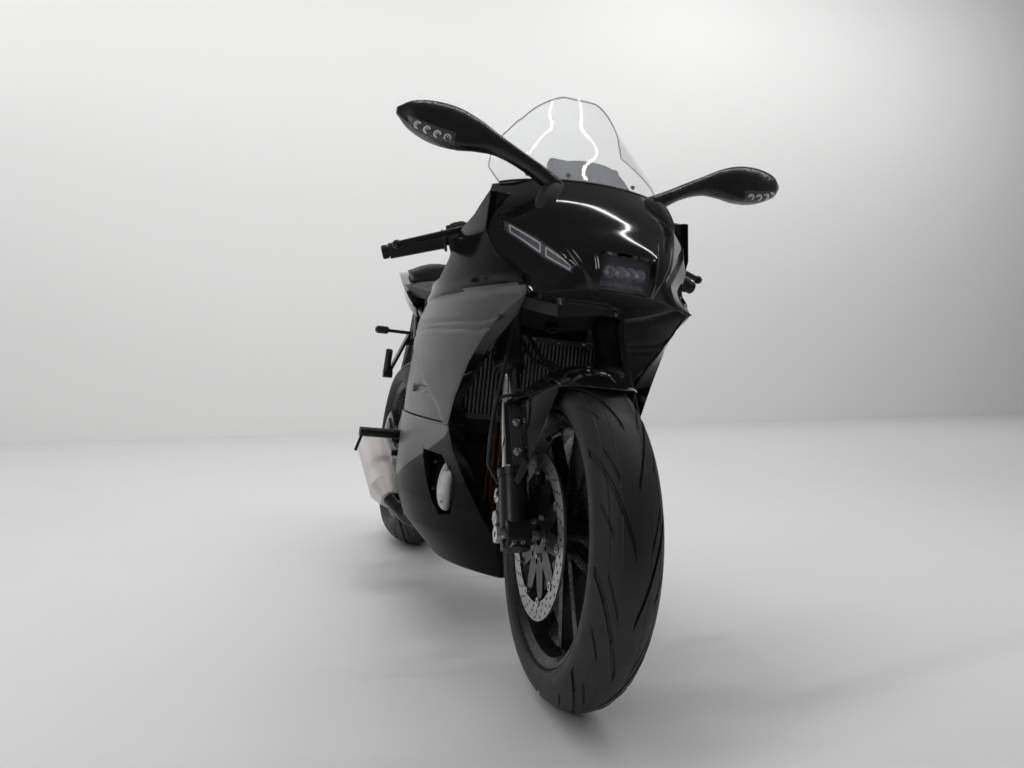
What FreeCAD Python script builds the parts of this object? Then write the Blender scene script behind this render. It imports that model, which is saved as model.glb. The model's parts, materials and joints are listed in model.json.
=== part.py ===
"""Sport bike: a fully faired road motorcycle leaning on its side stand.

Units are millimetres.  Every piece is drawn upright in one chassis frame, whose origin is on the
ground under the front axle: X forward, Y to the rider's left, Z up.  The steered pieces are drawn
in a fork frame at the front axle, with Z up along the steering axis.  The whole machine is then
leaned onto its side stand and moved so that the row origin is under the middle of its box.
"""
import FreeCAD, Part
import math
import os
import re
import Sketcher
from FreeCAD import Placement, Rotation, Vector

# name, value, what it sizes.  Lengths in mm, angles in degrees.
SIZES = (
    ("wheelbase", 1395, "front axle to rear axle"),
    ("rake_angle", 23.67, "steering axis off the vertical"),
    ("trail_length", 90, "steering axis ahead of the front contact"),
    ("lean_angle", 6.2, "lean onto the side stand"),
    ("fit_gap", 0.3, "gap between curved faces that seat"),
    ("shell", 3, "thickness of moulded panels"),
    ("front_tyre_radius", 300, "front tyre crown"),
    ("front_tyre_half", 60, "half width of the front tyre"),
    ("rear_tyre_radius", 315, "rear tyre crown"),
    ("rear_tyre_half", 90, "half width of the rear tyre"),
    ("seat_radius", 216, "bead seat of both rims"),
    ("flange_radius", 228, "rim flange of both wheels"),
    ("front_rim_half", 48, "half width of the front rim"),
    ("rear_rim_half", 74, "half width of the rear rim"),
    ("rim_wall", 6, "thickness of the rim barrel"),
    ("hub_radius", 34, "front hub"),
    ("rear_hub_radius", 46, "rear hub"),
    ("spoke_pairs", 5, "pairs of spokes in each wheel"),
    ("spoke_width", 19, "width of one spoke"),
    ("spoke_depth", 26, "depth of one spoke across the wheel"),
    ("axle_radius", 11, "both wheel axles"),
    ("axle_bore", 5.5, "bore through both hollow axles"),
    ("disc_radius", 149, "front brake discs"),
    ("disc_inner", 117, "inner edge of the front friction ring"),
    ("disc_thick", 4.5, "brake disc thickness"),
    ("disc_offset", 62, "front disc from the centre plane"),
    ("rear_disc_radius", 122, "rear brake disc"),
    ("rear_disc_inner", 92, "inner edge of the rear friction ring"),
    ("rear_disc_offset", 100, "rear disc from the centre plane"),
    ("axle_offset", 38, "front axle ahead of the steering axis"),
    ("leg_offset", 30, "fork legs ahead of the steering axis"),
    ("leg_spacing", 105, "each fork leg from the centre plane"),
    ("inner_tube_radius", 20.5, "sliding fork tube"),
    ("outer_tube_radius", 27, "upper fork tube"),
    ("slider_exposed", 335, "height of the outer tube's lower lip above the axle"),
    ("fork_height", 662, "top of the fork above the axle"),
    ("lower_clamp_height", 450, "underside of the lower clamp above the axle"),
    ("upper_clamp_height", 602, "underside of the upper clamp above the axle"),
    ("clamp_thick", 28, "thickness of the clamps"),
    ("stem_radius", 14, "steering stem"),
    ("head_tube_radius", 30, "steering head of the frame"),
    ("bar_radius", 11, "handlebar tube"),
    ("grip_radius", 16.5, "rubber grip"),
    ("bar_reach", 347, "bar end from the centre plane"),
    ("bar_sweep", 56, "bar end behind the fork leg"),
    ("bar_height", 596, "bar end above the axle along the fork"),
    ("steering_lock", 30, "steering angle to each side"),
    ("steer_rest", -3.5, "steering angle as it stands, minus to its right"),
    ("mudguard_gap", 11, "front mudguard off the tyre crown"),
    ("pivot_x", -835, "swingarm pivot"),
    ("pivot_z", 345, "swingarm pivot"),
    ("arm_inner", 118, "inner face of each swingarm beam"),
    ("arm_width", 24, "width of each swingarm beam"),
    ("chain_plane", 105, "chain line from the centre plane"),
    ("chain_pitch", 15.875, "chain pitch"),
    ("front_teeth", 16, "teeth of the gearbox sprocket"),
    ("rear_teeth", 42, "teeth of the wheel sprocket"),
    ("output_x", -740, "gearbox sprocket"),
    ("output_z", 345, "gearbox sprocket"),
    ("crankcase_half", 145, "half width of the crankcase"),
    ("cylinder_half", 125, "half width of the cylinder block"),
    ("header_radius", 19, "exhaust header pipe"),
    ("muffler_radius", 49, "muffler body"),
    ("radiator_x", -322, "front face of the radiator"),
    ("radiator_half", 150, "half width of the radiator core"),
    ("radiator_thick", 26, "radiator core"),
    ("frame_tube", 17, "radius of the main frame tubes"),
    ("rail_tube", 11, "radius of the seat rail tubes"),
    ("seam_height", 474, "joint between side fairing and belly pan"),
    ("stand_pivot_x", -830, "side stand hinge"),
    ("stand_pivot_y", 172, "side stand hinge"),
    ("stand_pivot_z", 205, "side stand hinge"),
    ("stand_forward", 45, "stand foot ahead of its hinge"),
    ("stand_spread", 120, "stand foot outboard of its hinge"),
    ("stand_radius", 11, "side stand leg"),
    ("stand_fold", 95, "travel of the side stand"),
    ("peg_x", -875, "rider footrest"),
    ("peg_z", 400, "rider footrest"),
    ("peg_reach", 280, "rider footrest tip from the centre plane"),
)

doc = FreeCAD.newDocument("SportBike")
sheet = doc.addObject("Spreadsheet::Sheet", "Sizes")
for row, (alias, value, meaning) in enumerate(SIZES, 1):
    sheet.set("A%d" % row, alias)
    sheet.set("B%d" % row, str(value))
    sheet.set("C%d" % row, meaning)
    sheet.setAlias("B%d" % row, alias)
doc.recompute()

ALIASES = {alias for alias, value, meaning in SIZES}
NODES = []


def size(alias):
    """The number in a named cell."""
    return float(sheet.get(alias))


def bound(text):
    """An expression in which every named size points at its cell."""
    return re.sub(r"[a-z_]+", lambda word: "Sizes." + word.group() if word.group() in ALIASES
                  else word.group(), str(text))


def node(label, obj, placement=None):
    """Names a finished sub-part and puts it in its place."""
    obj.Label = label
    if placement is not None:
        obj.Placement = placement
    NODES.append(obj)
    return obj


# ---------------------------------------------------------------- sketches and solids

def put_profile(sk, points):
    """Closed profile.  Each point is (x, y) or (x, y, arc_x, arc_y): the arc's middle on the way
    to the next point.  Entries are numbers or expressions in the named sizes."""
    def number(text):
        value = sk.evalExpression(bound(text))
        return float(getattr(value, "Value", value))

    ends = [Vector(number(p[0]), number(p[1]), 0) for p in points]
    fixed = []
    for i, point in enumerate(points):
        end = ends[(i + 1) % len(ends)]
        if len(point) == 4:
            middle = Vector(number(point[2]), number(point[3]), 0)
            sk.addGeometry(Part.Arc(ends[i], middle, end), False)
            fixed.append((i, point[2:], middle))
        else:
            sk.addGeometry(Part.LineSegment(ends[i], end), False)

    def starts(i):
        """Sketcher turns arcs counter-clockwise, so the arc may start at its other end."""
        first = sk.getPoint(i, 1)
        return 1 if (first - ends[i]).Length < 1e-6 else 2

    def pin(geometry, where, texts, at):
        for kind, axis, text, value in (("DistanceX", -2, texts[0], at.x),
                                        ("DistanceY", -1, texts[1], at.y)):
            if abs(value) < 1e-9:
                sk.addConstraint(Sketcher.Constraint("PointOnObject", geometry, where, axis))
            else:
                index = sk.addConstraint(
                    Sketcher.Constraint(kind, -1, 1, geometry, where, value))
                sk.setExpression("Constraints[%d]" % index, bound(text))

    count = len(points)
    for i in range(count):
        following = (i + 1) % count
        sk.addConstraint(Sketcher.Constraint("Coincident", i, 3 - starts(i),
                                             following, starts(following)))
    for i in range(count):
        pin(i, starts(i), points[i][:2], ends[i])
    for arc, texts, middle in fixed:
        dot = sk.addGeometry(Part.Point(middle), True)
        sk.addConstraint(Sketcher.Constraint("PointOnObject", dot, 1, arc))
        pin(dot, 1, texts, middle)


def origin_feature(body, role):
    """One of a body's own origin planes or axes."""
    return [item for item in body.Origin.OriginFeatures if item.Role == role][0]


def body_sketch(body, plane, points, offset=0):
    """Sketch on one of a body's origin planes, offset along its normal."""
    sk = body.newObject("Sketcher::SketchObject", "Profile")
    sk.AttachmentSupport = [(origin_feature(body, plane), "")]
    sk.MapMode = "FlatFace"
    if offset:
        sk.setExpression("AttachmentOffset.Base.z", bound(offset))
    put_profile(sk, points)
    return sk


def turned(body, points):
    """Revolution about Y of a profile given as (radius, y)."""
    feature = body.newObject("PartDesign::Revolution", "Turned")
    feature.Profile = body_sketch(body, "XY_Plane", points)
    feature.ReferenceAxis = (origin_feature(body, "Y_Axis"), [""])
    feature.Angle = 360
    return feature


def padded(body, plane, points, length, offset=0, middle=True):
    """Pad of a profile on an origin plane."""
    sk = body_sketch(body, plane, points, offset)
    feature = body.newObject("PartDesign::Pad", "Pad")
    feature.Profile = sk
    feature.Midplane = middle
    feature.setExpression("Length", bound(length))
    return feature


def pocket(body, plane, points, length, offset=0):
    """Pocket cut evenly to both sides of a profile's plane."""
    sk = body_sketch(body, plane, points, offset)
    feature = body.newObject("PartDesign::Pocket", "Pocket")
    feature.Profile = sk
    feature.Midplane = True
    feature.setExpression("Length", bound(length))
    return feature


def around(body, features, count):
    """Polar pattern about Y."""
    pattern = body.newObject("PartDesign::PolarPattern", "Around")
    pattern.Originals = features
    pattern.Axis = (origin_feature(body, "Y_Axis"), [""])
    pattern.Angle = 360
    pattern.setExpression("Occurrences", bound(count))
    body.Tip = pattern
    return pattern


def new_body(name):
    return doc.addObject("PartDesign::Body", name)


def free_sketch(points, placement):
    sk = doc.addObject("Sketcher::SketchObject", "Section")
    put_profile(sk, points)
    sk.Placement = placement
    return sk


def level(z):
    """Plane at a height: sketch x is X, sketch y is Y."""
    return Placement(Vector(0, 0, z), Rotation())


def station(x):
    """Plane across the machine: sketch x is Y, sketch y is Z."""
    return Placement(Vector(x, 0, 0), Rotation(Vector(0, 1, 0), Vector(0, 0, 1),
                                               Vector(1, 0, 0), "XYZ"))


def slice_at(y):
    """Plane along the machine: sketch x is X, sketch y is Z."""
    return Placement(Vector(0, y, 0), Rotation(Vector(1, 0, 0), Vector(0, 0, 1),
                                               Vector(0, -1, 0), "XYZ"))


def loft(sections, ruled=False):
    obj = doc.addObject("Part::Loft", "Loft")
    obj.Sections = sections
    obj.Solid = True
    obj.Ruled = ruled
    return obj


def prism(points, placement, length, both=True):
    """Extrusion of a profile along its plane's normal."""
    obj = doc.addObject("Part::Extrusion", "Prism")
    obj.Base = free_sketch(points, placement)
    obj.DirMode = "Normal"
    obj.Solid = True
    obj.Symmetric = both
    obj.setExpression("LengthFwd", bound(length))
    return obj


def joined(objects):
    obj = doc.addObject("Part::MultiFuse", "Joined")
    obj.Shapes = objects
    return obj


def cut(base, tool):
    obj = doc.addObject("Part::Cut", "Cut")
    obj.Base = base
    obj.Tool = tool
    return obj


def common(first, second):
    obj = doc.addObject("Part::Common", "Shared")
    obj.Base = first
    obj.Tool = second
    return obj


def mirrored(source):
    """Copy on the other side of the centre plane."""
    obj = doc.addObject("Part::Mirroring", "Mirror")
    obj.Source = source
    obj.Normal = Vector(0, 1, 0)
    return obj


def group(objects):
    obj = doc.addObject("Part::Compound", "Group")
    obj.Links = objects
    return obj


def both_sides(source):
    return group([source, mirrored(source)])


def solid(shape):
    """A shape made with Part's own functions; a moved shape keeps its move in a compound."""
    obj = doc.addObject("Part::Feature", "Formed")
    obj.Shape = shape if shape.Placement.isIdentity() else Part.Compound([shape])
    return obj


def bent_path(points, radii):
    """Wire of straight runs with a tangent arc of the given radius at each inner point."""
    points = [Vector(*p) for p in points]
    edges = []
    last = points[0]
    for before, corner, after, radius in zip(points, points[1:], points[2:], radii):
        arrive = (corner - before).normalize()
        leave = (after - corner).normalize()
        turn = arrive.getAngle(leave)
        reach = radius * math.tan(turn / 2)
        start = corner - arrive * reach
        end = corner + leave * reach
        inward = (leave - arrive).normalize()
        middle = corner + inward * (radius / math.cos(turn / 2) - radius)
        edges.append(Part.LineSegment(last, start).toShape())
        edges.append(Part.Arc(start, middle, end).toShape())
        last = end
    edges.append(Part.LineSegment(last, points[-1]).toShape())
    return Part.Wire(edges)


def pipe(points, radii, radius, bore=0):
    """Round tube along a bent path."""
    path = bent_path(points, radii)
    start = Vector(*points[0])
    along = Vector(*points[1]) - start

    def swept(r):
        ring = Part.Wire(Part.makeCircle(r, start, along))
        return path.makePipeShell([ring], True, False)

    shape = swept(radius)
    return shape.cut(swept(bore)) if bore else shape


# ---------------------------------------------------------------- where things stand

RAKE = math.radians(size("rake_angle"))
LEAN = math.radians(size("lean_angle"))
FRONT_R = size("front_tyre_radius")
REAR_R = size("rear_tyre_radius")
GAP = size("fit_gap")
SHELL = size("shell")
UP = Vector(0, 0, 1)
LEFT = Vector(0, 1, 0)

FRONT_DROP = 38
REAR_DROP = 53
TAIL_END = -1765
MIRROR_REACH = 391
MIRROR_HEIGHT = 1018
REAR_AXLE = Vector(-size("wheelbase"), 0, REAR_R)
STEM_X = -size("axle_offset")
LEG_X = size("leg_offset") - size("axle_offset")
LEG_Y = size("leg_spacing")


def crown(half, drop):
    """Radius of a tyre's crown arc, from its half chord and its height."""
    chord = half - 2
    return (chord ** 2 + drop ** 2) / (2 * drop)


def about(centre, turn):
    """A rotation about a point."""
    return Placement(centre - turn.multVec(centre), turn)


# the fork frame before the machine leans: raked, then turned a little about the stem
FORK_UPRIGHT = Placement(Vector(0, 0, FRONT_R), Rotation(LEFT, -size("rake_angle"))).multiply(
    about(Vector(STEM_X, 0, 0), Rotation(UP, size("steer_rest"))))
UNRAKE = Placement(Vector(), Rotation(LEFT, size("rake_angle")))
TIPPED = Placement(Vector(), Rotation(Vector(1, 0, 0), -size("lean_angle")))


def ground_lift(axle, radius, crown_radius):
    """How far to raise a leaned wheel so that its round crown just meets the ground."""
    place = TIPPED.multiply(axle)
    tilt = math.asin(abs(place.Rotation.multVec(LEFT).z))
    return (radius - crown_radius) * math.cos(tilt) + crown_radius - place.Base.z


lift_front = ground_lift(FORK_UPRIGHT.multiply(UNRAKE), FRONT_R,
                         crown(size("front_tyre_half"), FRONT_DROP))
lift_rear = ground_lift(Placement(REAR_AXLE, Rotation()), REAR_R,
                        crown(size("rear_tyre_half"), REAR_DROP))
pitch = math.atan((lift_rear - lift_front) / size("wheelbase"))
shift = Vector(-(FRONT_R + TAIL_END) / 2, -MIRROR_HEIGHT * math.sin(LEAN), lift_front)
WORLD = Placement(shift, Rotation(LEFT, math.degrees(pitch))).multiply(TIPPED)
FORK = WORLD.multiply(FORK_UPRIGHT)
FRONT_HUB = FORK.multiply(UNRAKE)
REAR_HUB = WORLD.multiply(Placement(REAR_AXLE, Rotation()))


def from_fork(x, y, z):
    """A point of the straight-ahead fork in the chassis frame."""
    return Vector(x * math.cos(RAKE) - z * math.sin(RAKE), y,
                  FRONT_R + x * math.sin(RAKE) + z * math.cos(RAKE))


def bar_y(x, z, half, radius):
    """Solid bar across the machine at a side-view point."""
    return Part.makeCylinder(radius, 2 * half, Vector(x, -half, z), LEFT)


def plate_y(points, y, thick):
    """Plate parallel to the centre plane from side-view points (x, z)."""
    corners = [Vector(x, y, z) for x, z in points]
    return Part.Face(Part.makePolygon(corners + corners[:1])).extrude(Vector(0, thick, 0))


def facet(points, thick):
    """Thin flat panel through its corners, thickened evenly to both sides."""
    face = Part.Face(Part.makePolygon(list(points) + [points[0]]))
    normal = face.normalAt(0, 0)
    panel = face.extrude(normal * thick)
    panel.translate(normal * (-thick / 2))
    return panel


# ---------------------------------------------------------------- wheels

def tyre(label, radius, half, rim_half, drop, hub):
    """Solid ring from the bead seat to a round crown."""
    body = new_body(label)
    seat = "seat_radius + fit_gap"
    bead = rim_half + " - 6 - fit_gap"
    lip = "%s - 4 - fit_gap" % rim_half
    edge = "%s - %s" % (radius, drop)
    turned(body, (
        (seat, "-(%s)" % bead), ("flange_radius + fit_gap", "-(%s)" % lip),
        ("flange_radius + 4", "-(%s + 4)" % rim_half, edge + " - 12", "-(%s - 0.5)" % half),
        (edge, "-(%s - 2)" % half, radius, "0"),
        (edge, "%s - 2" % half, edge + " - 12", "%s - 0.5" % half),
        ("flange_radius + 4", "%s + 4" % rim_half),
        ("flange_radius + fit_gap", lip), (seat, bead)))
    return node(label, body, hub)


def rim(label, rim_half, hub_radius, hub_half, hub):
    """Drop-centre barrel, hub tube and pairs of straight spokes."""
    body = new_body(label)
    turned(body, (
        ("flange_radius", "-(%s)" % rim_half), ("flange_radius", "-(%s - 4)" % rim_half),
        ("seat_radius", "-(%s - 6)" % rim_half), ("seat_radius - 2", "-(%s * 0.45)" % rim_half),
        ("seat_radius - 12", "-(%s * 0.3)" % rim_half),
        ("seat_radius - 12", "%s * 0.3" % rim_half),
        ("seat_radius - 2", "%s * 0.45" % rim_half), ("seat_radius", "%s - 6" % rim_half),
        ("flange_radius", "%s - 4" % rim_half), ("flange_radius", rim_half),
        ("flange_radius - rim_wall", rim_half), ("seat_radius - rim_wall", "%s - 10" % rim_half),
        ("seat_radius - 12 - rim_wall", "%s * 0.3" % rim_half),
        ("seat_radius - 12 - rim_wall", "-(%s * 0.3)" % rim_half),
        ("seat_radius - rim_wall", "-(%s - 10)" % rim_half),
        ("flange_radius - rim_wall", "-(%s)" % rim_half)))
    spokes = []
    for side in ("", "-"):
        inner, outer = "%s(spoke_width * 0.45)" % side, "%s(spoke_width * 1.9)" % side
        inner_far, outer_far = "%s(spoke_width * 1.5)" % side, "%s(spoke_width * 2.9)" % side
        spokes.append(padded(body, "XZ_Plane", (
            (hub_radius + " * 0.8", inner), ("seat_radius - 15", outer),
            ("seat_radius - 15", outer_far), (hub_radius + " * 0.8", inner_far)),
            "spoke_depth"))
    around(body, spokes, "spoke_pairs")
    turned(body, (("axle_radius + fit_gap", "-(%s)" % hub_half), (hub_radius, "-(%s)" % hub_half),
                  (hub_radius, hub_half), ("axle_radius + fit_gap", hub_half)))
    bore = body.newObject("PartDesign::Groove", "Bore")
    bore.Profile = body_sketch(body, "XY_Plane", (
        (0, "-(%s + 5)" % hub_half), ("axle_radius + fit_gap", "-(%s + 5)" % hub_half),
        ("axle_radius + fit_gap", "%s + 5" % hub_half), (0, "%s + 5" % hub_half)))
    bore.ReferenceAxis = (origin_feature(body, "Y_Axis"), [""])
    bore.Angle = 360
    return node(label, body, hub)


tyre("front_tyre", "front_tyre_radius", "front_tyre_half", "front_rim_half", FRONT_DROP, FRONT_HUB)
tyre("rear_tyre", "rear_tyre_radius", "rear_tyre_half", "rear_rim_half", REAR_DROP, REAR_HUB)
rim("front_rim", "front_rim_half", "hub_radius", "disc_offset - 12", FRONT_HUB)
rim("rear_rim", "rear_rim_half", "rear_hub_radius", "rear_disc_offset - 12", REAR_HUB)


def brake_disc(outer, inner, offset, hub_radius):
    """Friction ring on a dished carrier with ten arms, bolted to the hub's end."""
    body = new_body("Disc")
    turned(body, ((inner, offset), (outer, offset), (outer, offset + " + disc_thick"),
                  (inner, offset + " + disc_thick")))
    turned(body, ((hub_radius + " - 14", offset + " - 11.7"),
                  (hub_radius + " + 12", offset + " - 11.7"),
                  (hub_radius + " + 20", offset + " - 1"), (hub_radius + " + 20", offset + " + 3"),
                  (hub_radius + " + 8", offset + " - 6"), (hub_radius + " - 14", offset + " - 6")))
    arm = padded(body, "XZ_Plane", (
        (hub_radius + " + 14", -13), (inner + " + 1", -7), (inner + " + 1", 7),
        (hub_radius + " + 14", 13)), "disc_thick", "-(%s + disc_thick / 2)" % offset)
    around(body, [arm], "spoke_pairs * 2")
    return body


front_disc = brake_disc("disc_radius", "disc_inner", "disc_offset", "hub_radius")
node("front_discs", both_sides(front_disc), FRONT_HUB)
rear_disc = mirrored(brake_disc("rear_disc_radius", "rear_disc_inner", "rear_disc_offset",
                                "rear_hub_radius"))
node("rear_disc", rear_disc, REAR_HUB)


def pitch_radius(teeth):
    return size("chain_pitch") / 2 / math.sin(math.pi / teeth)


def sprocket(teeth, bore, thick):
    """Toothed plate about Y: one rounded tooth per pitch."""
    radius = pitch_radius(teeth)
    tip, root = radius + 4, radius - 5
    step = 2 * math.pi / teeth
    corners = []
    for i in range(int(teeth)):
        for share, r in ((-0.3, root), (-0.12, tip), (0.12, tip), (0.3, root)):
            a = (i + share) * step
            corners.append(Vector(r * math.cos(a), -thick / 2, r * math.sin(a)))
    face = Part.Face(Part.makePolygon(corners + corners[:1]))
    plate = face.extrude(Vector(0, thick, 0))
    return plate.cut(Part.makeCylinder(bore, 4 * thick, Vector(0, -2 * thick, 0), LEFT))


SPROCKET_THICK = 6
chain_y = size("chain_plane")
hub_r = size("rear_hub_radius")
carrier_from = size("rear_disc_offset") - 12 + GAP
carrier = Part.makeCylinder(hub_r + 8, chain_y - SPROCKET_THICK / 2 - carrier_from,
                            Vector(0, carrier_from - chain_y, 0), LEFT)
carrier = carrier.cut(Part.makeCylinder(hub_r - 8, 60, Vector(0, -40, 0), LEFT))
wheel_sprocket = sprocket(size("rear_teeth"), hub_r - 8, SPROCKET_THICK).fuse(carrier)
node("rear_sprocket", solid(wheel_sprocket),
     REAR_HUB.multiply(Placement(Vector(0, chain_y, 0), Rotation())))


def axle(label, half, hub, nut_radius, nut_thick):
    """Hollow axle with a hexagon head at each end."""
    shape = Part.makeCylinder(size("axle_radius"), 2 * half, Vector(0, -half, 0), LEFT)
    for y in (-half - nut_thick, half):
        corners = [Vector(nut_radius * math.cos(i * math.pi / 3), y,
                          nut_radius * math.sin(i * math.pi / 3)) for i in range(7)]
        shape = shape.fuse(Part.Face(Part.makePolygon(corners)).extrude(Vector(0, nut_thick, 0)))
    bore = Part.makeCylinder(size("axle_bore"), 2 * half + 4 * nut_thick,
                             Vector(0, -half - 2 * nut_thick, 0), LEFT)
    return node(label, solid(shape.cut(bore)), hub)


axle("front_axle", LEG_Y + 32, FRONT_HUB, 17, 8)
axle("rear_axle", size("arm_inner") + size("arm_width") + 1, REAR_HUB, 18, 10)

# ---------------------------------------------------------------- fork and steering


def tube_z(x, y, low, high, radius, bore=0):
    shape = Part.makeCylinder(radius, high - low, Vector(x, y, low), UP)
    if bore:
        shape = shape.cut(Part.makeCylinder(bore, high - low + 2, Vector(x, y, low - 1), UP))
    return shape


outer_r = size("outer_tube_radius")
inner_r = size("inner_tube_radius")
lip = size("slider_exposed")
top = size("fork_height")
lower = size("lower_clamp_height")
upper = size("upper_clamp_height")
thick = size("clamp_thick")

outer = tube_z(LEG_X, LEG_Y, lip, top, outer_r, inner_r + GAP)
outer = outer.fuse([tube_z(LEG_X, LEG_Y, lip, lip + 22, outer_r + 3, inner_r + GAP),
                    tube_z(LEG_X, LEG_Y, top - 6, top + 6, inner_r)])
node("fork_outer_tubes", both_sides(solid(outer)), FORK)

LUG_TOP = 122
LUG_R = 27
GUARD_FACE = LEG_X + LUG_R + 2.5
TUBE_SEAT = LUG_TOP - 60
slider = tube_z(LEG_X, LEG_Y, TUBE_SEAT, top - 8, inner_r)
node("fork_inner_tubes", both_sides(solid(slider)), FORK)


def fork_bottom():
    """Casting under each leg: axle boss, caliper ears behind and a mudguard boss in front."""
    lug = tube_z(LEG_X, LEG_Y, -26, LUG_TOP, LUG_R)
    boss = Part.makeCylinder(26, 44, Vector(0, LEG_Y - 22, 0), LEFT)
    ear = Part.makeBox(46, 20, 96, Vector(LEG_X - 62, LEG_Y - 14, 18))
    tongue = Part.makeBox(8, 18, 110, Vector(GUARD_FACE - GAP - 8, LEG_Y - 9, LUG_TOP - 20))
    lug = lug.fuse([boss, ear, tongue])
    lug = lug.cut(tube_z(LEG_X, LEG_Y, TUBE_SEAT - GAP, LUG_TOP + 140, inner_r + GAP))
    return lug.cut(Part.makeCylinder(size("axle_radius") + GAP, 100, Vector(0, LEG_Y - 50, 0),
                                     LEFT))


lug = fork_bottom()
node("fork_bottoms", both_sides(solid(lug)), FORK)


def clamp_plate(z):
    """Yoke that joins both legs and the stem."""
    half_plan = (
        Vector(STEM_X - 24, 0, z), Vector(STEM_X - 24, 30, z), Vector(LEG_X - 34, LEG_Y - 12, z),
        Vector(LEG_X - 20, LEG_Y + 34, z), Vector(LEG_X + 20, LEG_Y + 34, z),
        Vector(LEG_X + 34, LEG_Y - 12, z), Vector(LEG_X + 18, 40, z), Vector(LEG_X + 8, 0, z))
    half = Part.Face(Part.makePolygon(half_plan + half_plan[:1])).extrude(UP * thick)
    whole = half.fuse(half.mirror(Vector(), LEFT))
    for y in (-LEG_Y, LEG_Y):
        whole = whole.cut(tube_z(LEG_X, y, z - 1, z + thick + 1, outer_r + GAP))
    return whole


stem = tube_z(STEM_X, 0, lower - 12, upper + thick + 8, size("stem_radius"))
stem_nut = tube_z(STEM_X, 0, upper + thick - 1, upper + thick + 10, 22)
yoke = clamp_plate(lower).fuse([clamp_plate(upper), stem, stem_nut])
yoke = yoke.cut(tube_z(STEM_X, 0, lower - 20, lower + 40, 7))
node("triple_clamps", solid(yoke), FORK)

# each handlebar leaves a ring clamped round the fork tube above the upper clamp
RING_LOW = upper + thick + 1
BAR_ROOT = Vector(LEG_X - 2, LEG_Y + 24, RING_LOW + 12)
BAR_END = Vector(LEG_X - size("bar_sweep"), size("bar_reach"), size("bar_height"))
bar_r = size("bar_radius")


def along_bar(share):
    return BAR_ROOT + (BAR_END - BAR_ROOT) * share


def bar_rod(start, end, radius, bore=0):
    """Round piece along the bar between two shares of its length."""
    a, b = along_bar(start), along_bar(end)
    shape = Part.makeCylinder(radius, (b - a).Length, a, b - a)
    return shape.cut(Part.makeCylinder(bore, (b - a).Length, a, b - a)) if bore else shape


ring = tube_z(LEG_X, LEG_Y, RING_LOW, RING_LOW + 25, outer_r + 8, outer_r + GAP)
boss = Part.makeCylinder(15, 30, BAR_ROOT - Vector(0, 4, 0), BAR_END - BAR_ROOT)
boss = boss.common(tube_z(LEG_X, LEG_Y, RING_LOW, RING_LOW + 60, 200))
boss = boss.cut(tube_z(LEG_X, LEG_Y, RING_LOW - 60, RING_LOW + 60, outer_r + GAP))
bar = bar_rod(0.1, 1, bar_r).fuse(bar_rod(0.97, 1.02, 14))
node("handlebars", both_sides(solid(ring.fuse([boss, bar]))), FORK)
grip = bar_rod(0.47, 0.965, size("grip_radius"), bar_r + GAP)
grip = grip.fuse(bar_rod(0.45, 0.47, size("grip_radius") + 7, bar_r + GAP))
node("grips", both_sides(solid(grip)), FORK)

# switch box round the bar, lever perch and lever ahead of it
BAR_TURN = Rotation(LEFT, BAR_END - BAR_ROOT)


def on_bar(share, x, z):
    """Point beside the bar: x ahead, z above."""
    return along_bar(share) + Vector(x, 0, z)


def switch_box():
    shape = Part.makeBox(44, 46, 52, Vector(-22, -23, -26))
    shape = shape.makeChamfer(8, shape.Edges)
    shape.Placement = Placement(along_bar(0.33), BAR_TURN)
    return shape.cut(bar_rod(0, 0.6, bar_r + GAP))


PERCH_R = 19


def lever():
    """Perch clamp, then a blade that runs outward ahead of the grip to a ball end."""
    clamp = bar_rod(0.13, 0.2, PERCH_R, bar_r + GAP)
    start = on_bar(0.165, 16, -2)
    knuckle = on_bar(0.2, 50, -8)
    tip = on_bar(0.93, 60, -22)
    arm = Part.makeCylinder(9, (knuckle - start).Length, start, knuckle - start)
    blade = Part.makeCylinder(6, (tip - knuckle).Length, knuckle, tip - knuckle)
    return clamp.fuse([arm, Part.makeSphere(11, knuckle), blade, Part.makeSphere(9, tip)])


node("levers", both_sides(solid(lever())), FORK)
node("hand_controls", both_sides(solid(switch_box())), FORK)

# front mudguard: a short arch over the tyre with a wing down the front of each fork leg
GUARD_R = "front_tyre_radius + mudguard_gap"
guard_y = size("front_tyre_half") + size("mudguard_gap")
guard_edge = FRONT_R + size("mudguard_gap") - 30


GUARD_REACH = FRONT_R * 0.52
GUARD_CORNER = FRONT_R * 0.13


def mudguard_arch():
    """Revolved arch whose front edge runs back from its middle in a shallow V."""
    body = new_body("Guard")
    half = "front_tyre_half + mudguard_gap"
    sk = body_sketch(body, "XY_Plane", (
        (GUARD_R + " - 30", "-(%s)" % half, GUARD_R, 0),
        (GUARD_R + " - 30", half),
        (GUARD_R + " - 30", half + " + shell", GUARD_R + " + shell", 0),
        (GUARD_R + " - 30", "-(%s + shell)" % half)))
    feature = body.newObject("PartDesign::Revolution", "Arch")
    feature.Profile = sk
    feature.ReferenceAxis = (origin_feature(body, "Y_Axis"), [""])
    feature.Angle = 100
    # the arch starts behind the wheel and ends ahead of it
    body.Placement = Placement(Vector(), Rotation(LEFT, -150))
    doc.recompute()
    wide = guard_y + 30
    side = GUARD_REACH - (GUARD_REACH - GUARD_CORNER) * wide / guard_y
    plan = (Vector(-2 * FRONT_R, -wide, 0), Vector(side, -wide, 0), Vector(GUARD_REACH, 0, 0),
            Vector(side, wide, 0), Vector(-2 * FRONT_R, wide, 0))
    region = Part.Face(Part.makePolygon(plan + plan[:1])).extrude(UP * 2 * FRONT_R)
    return body.Shape.common(region)


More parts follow.
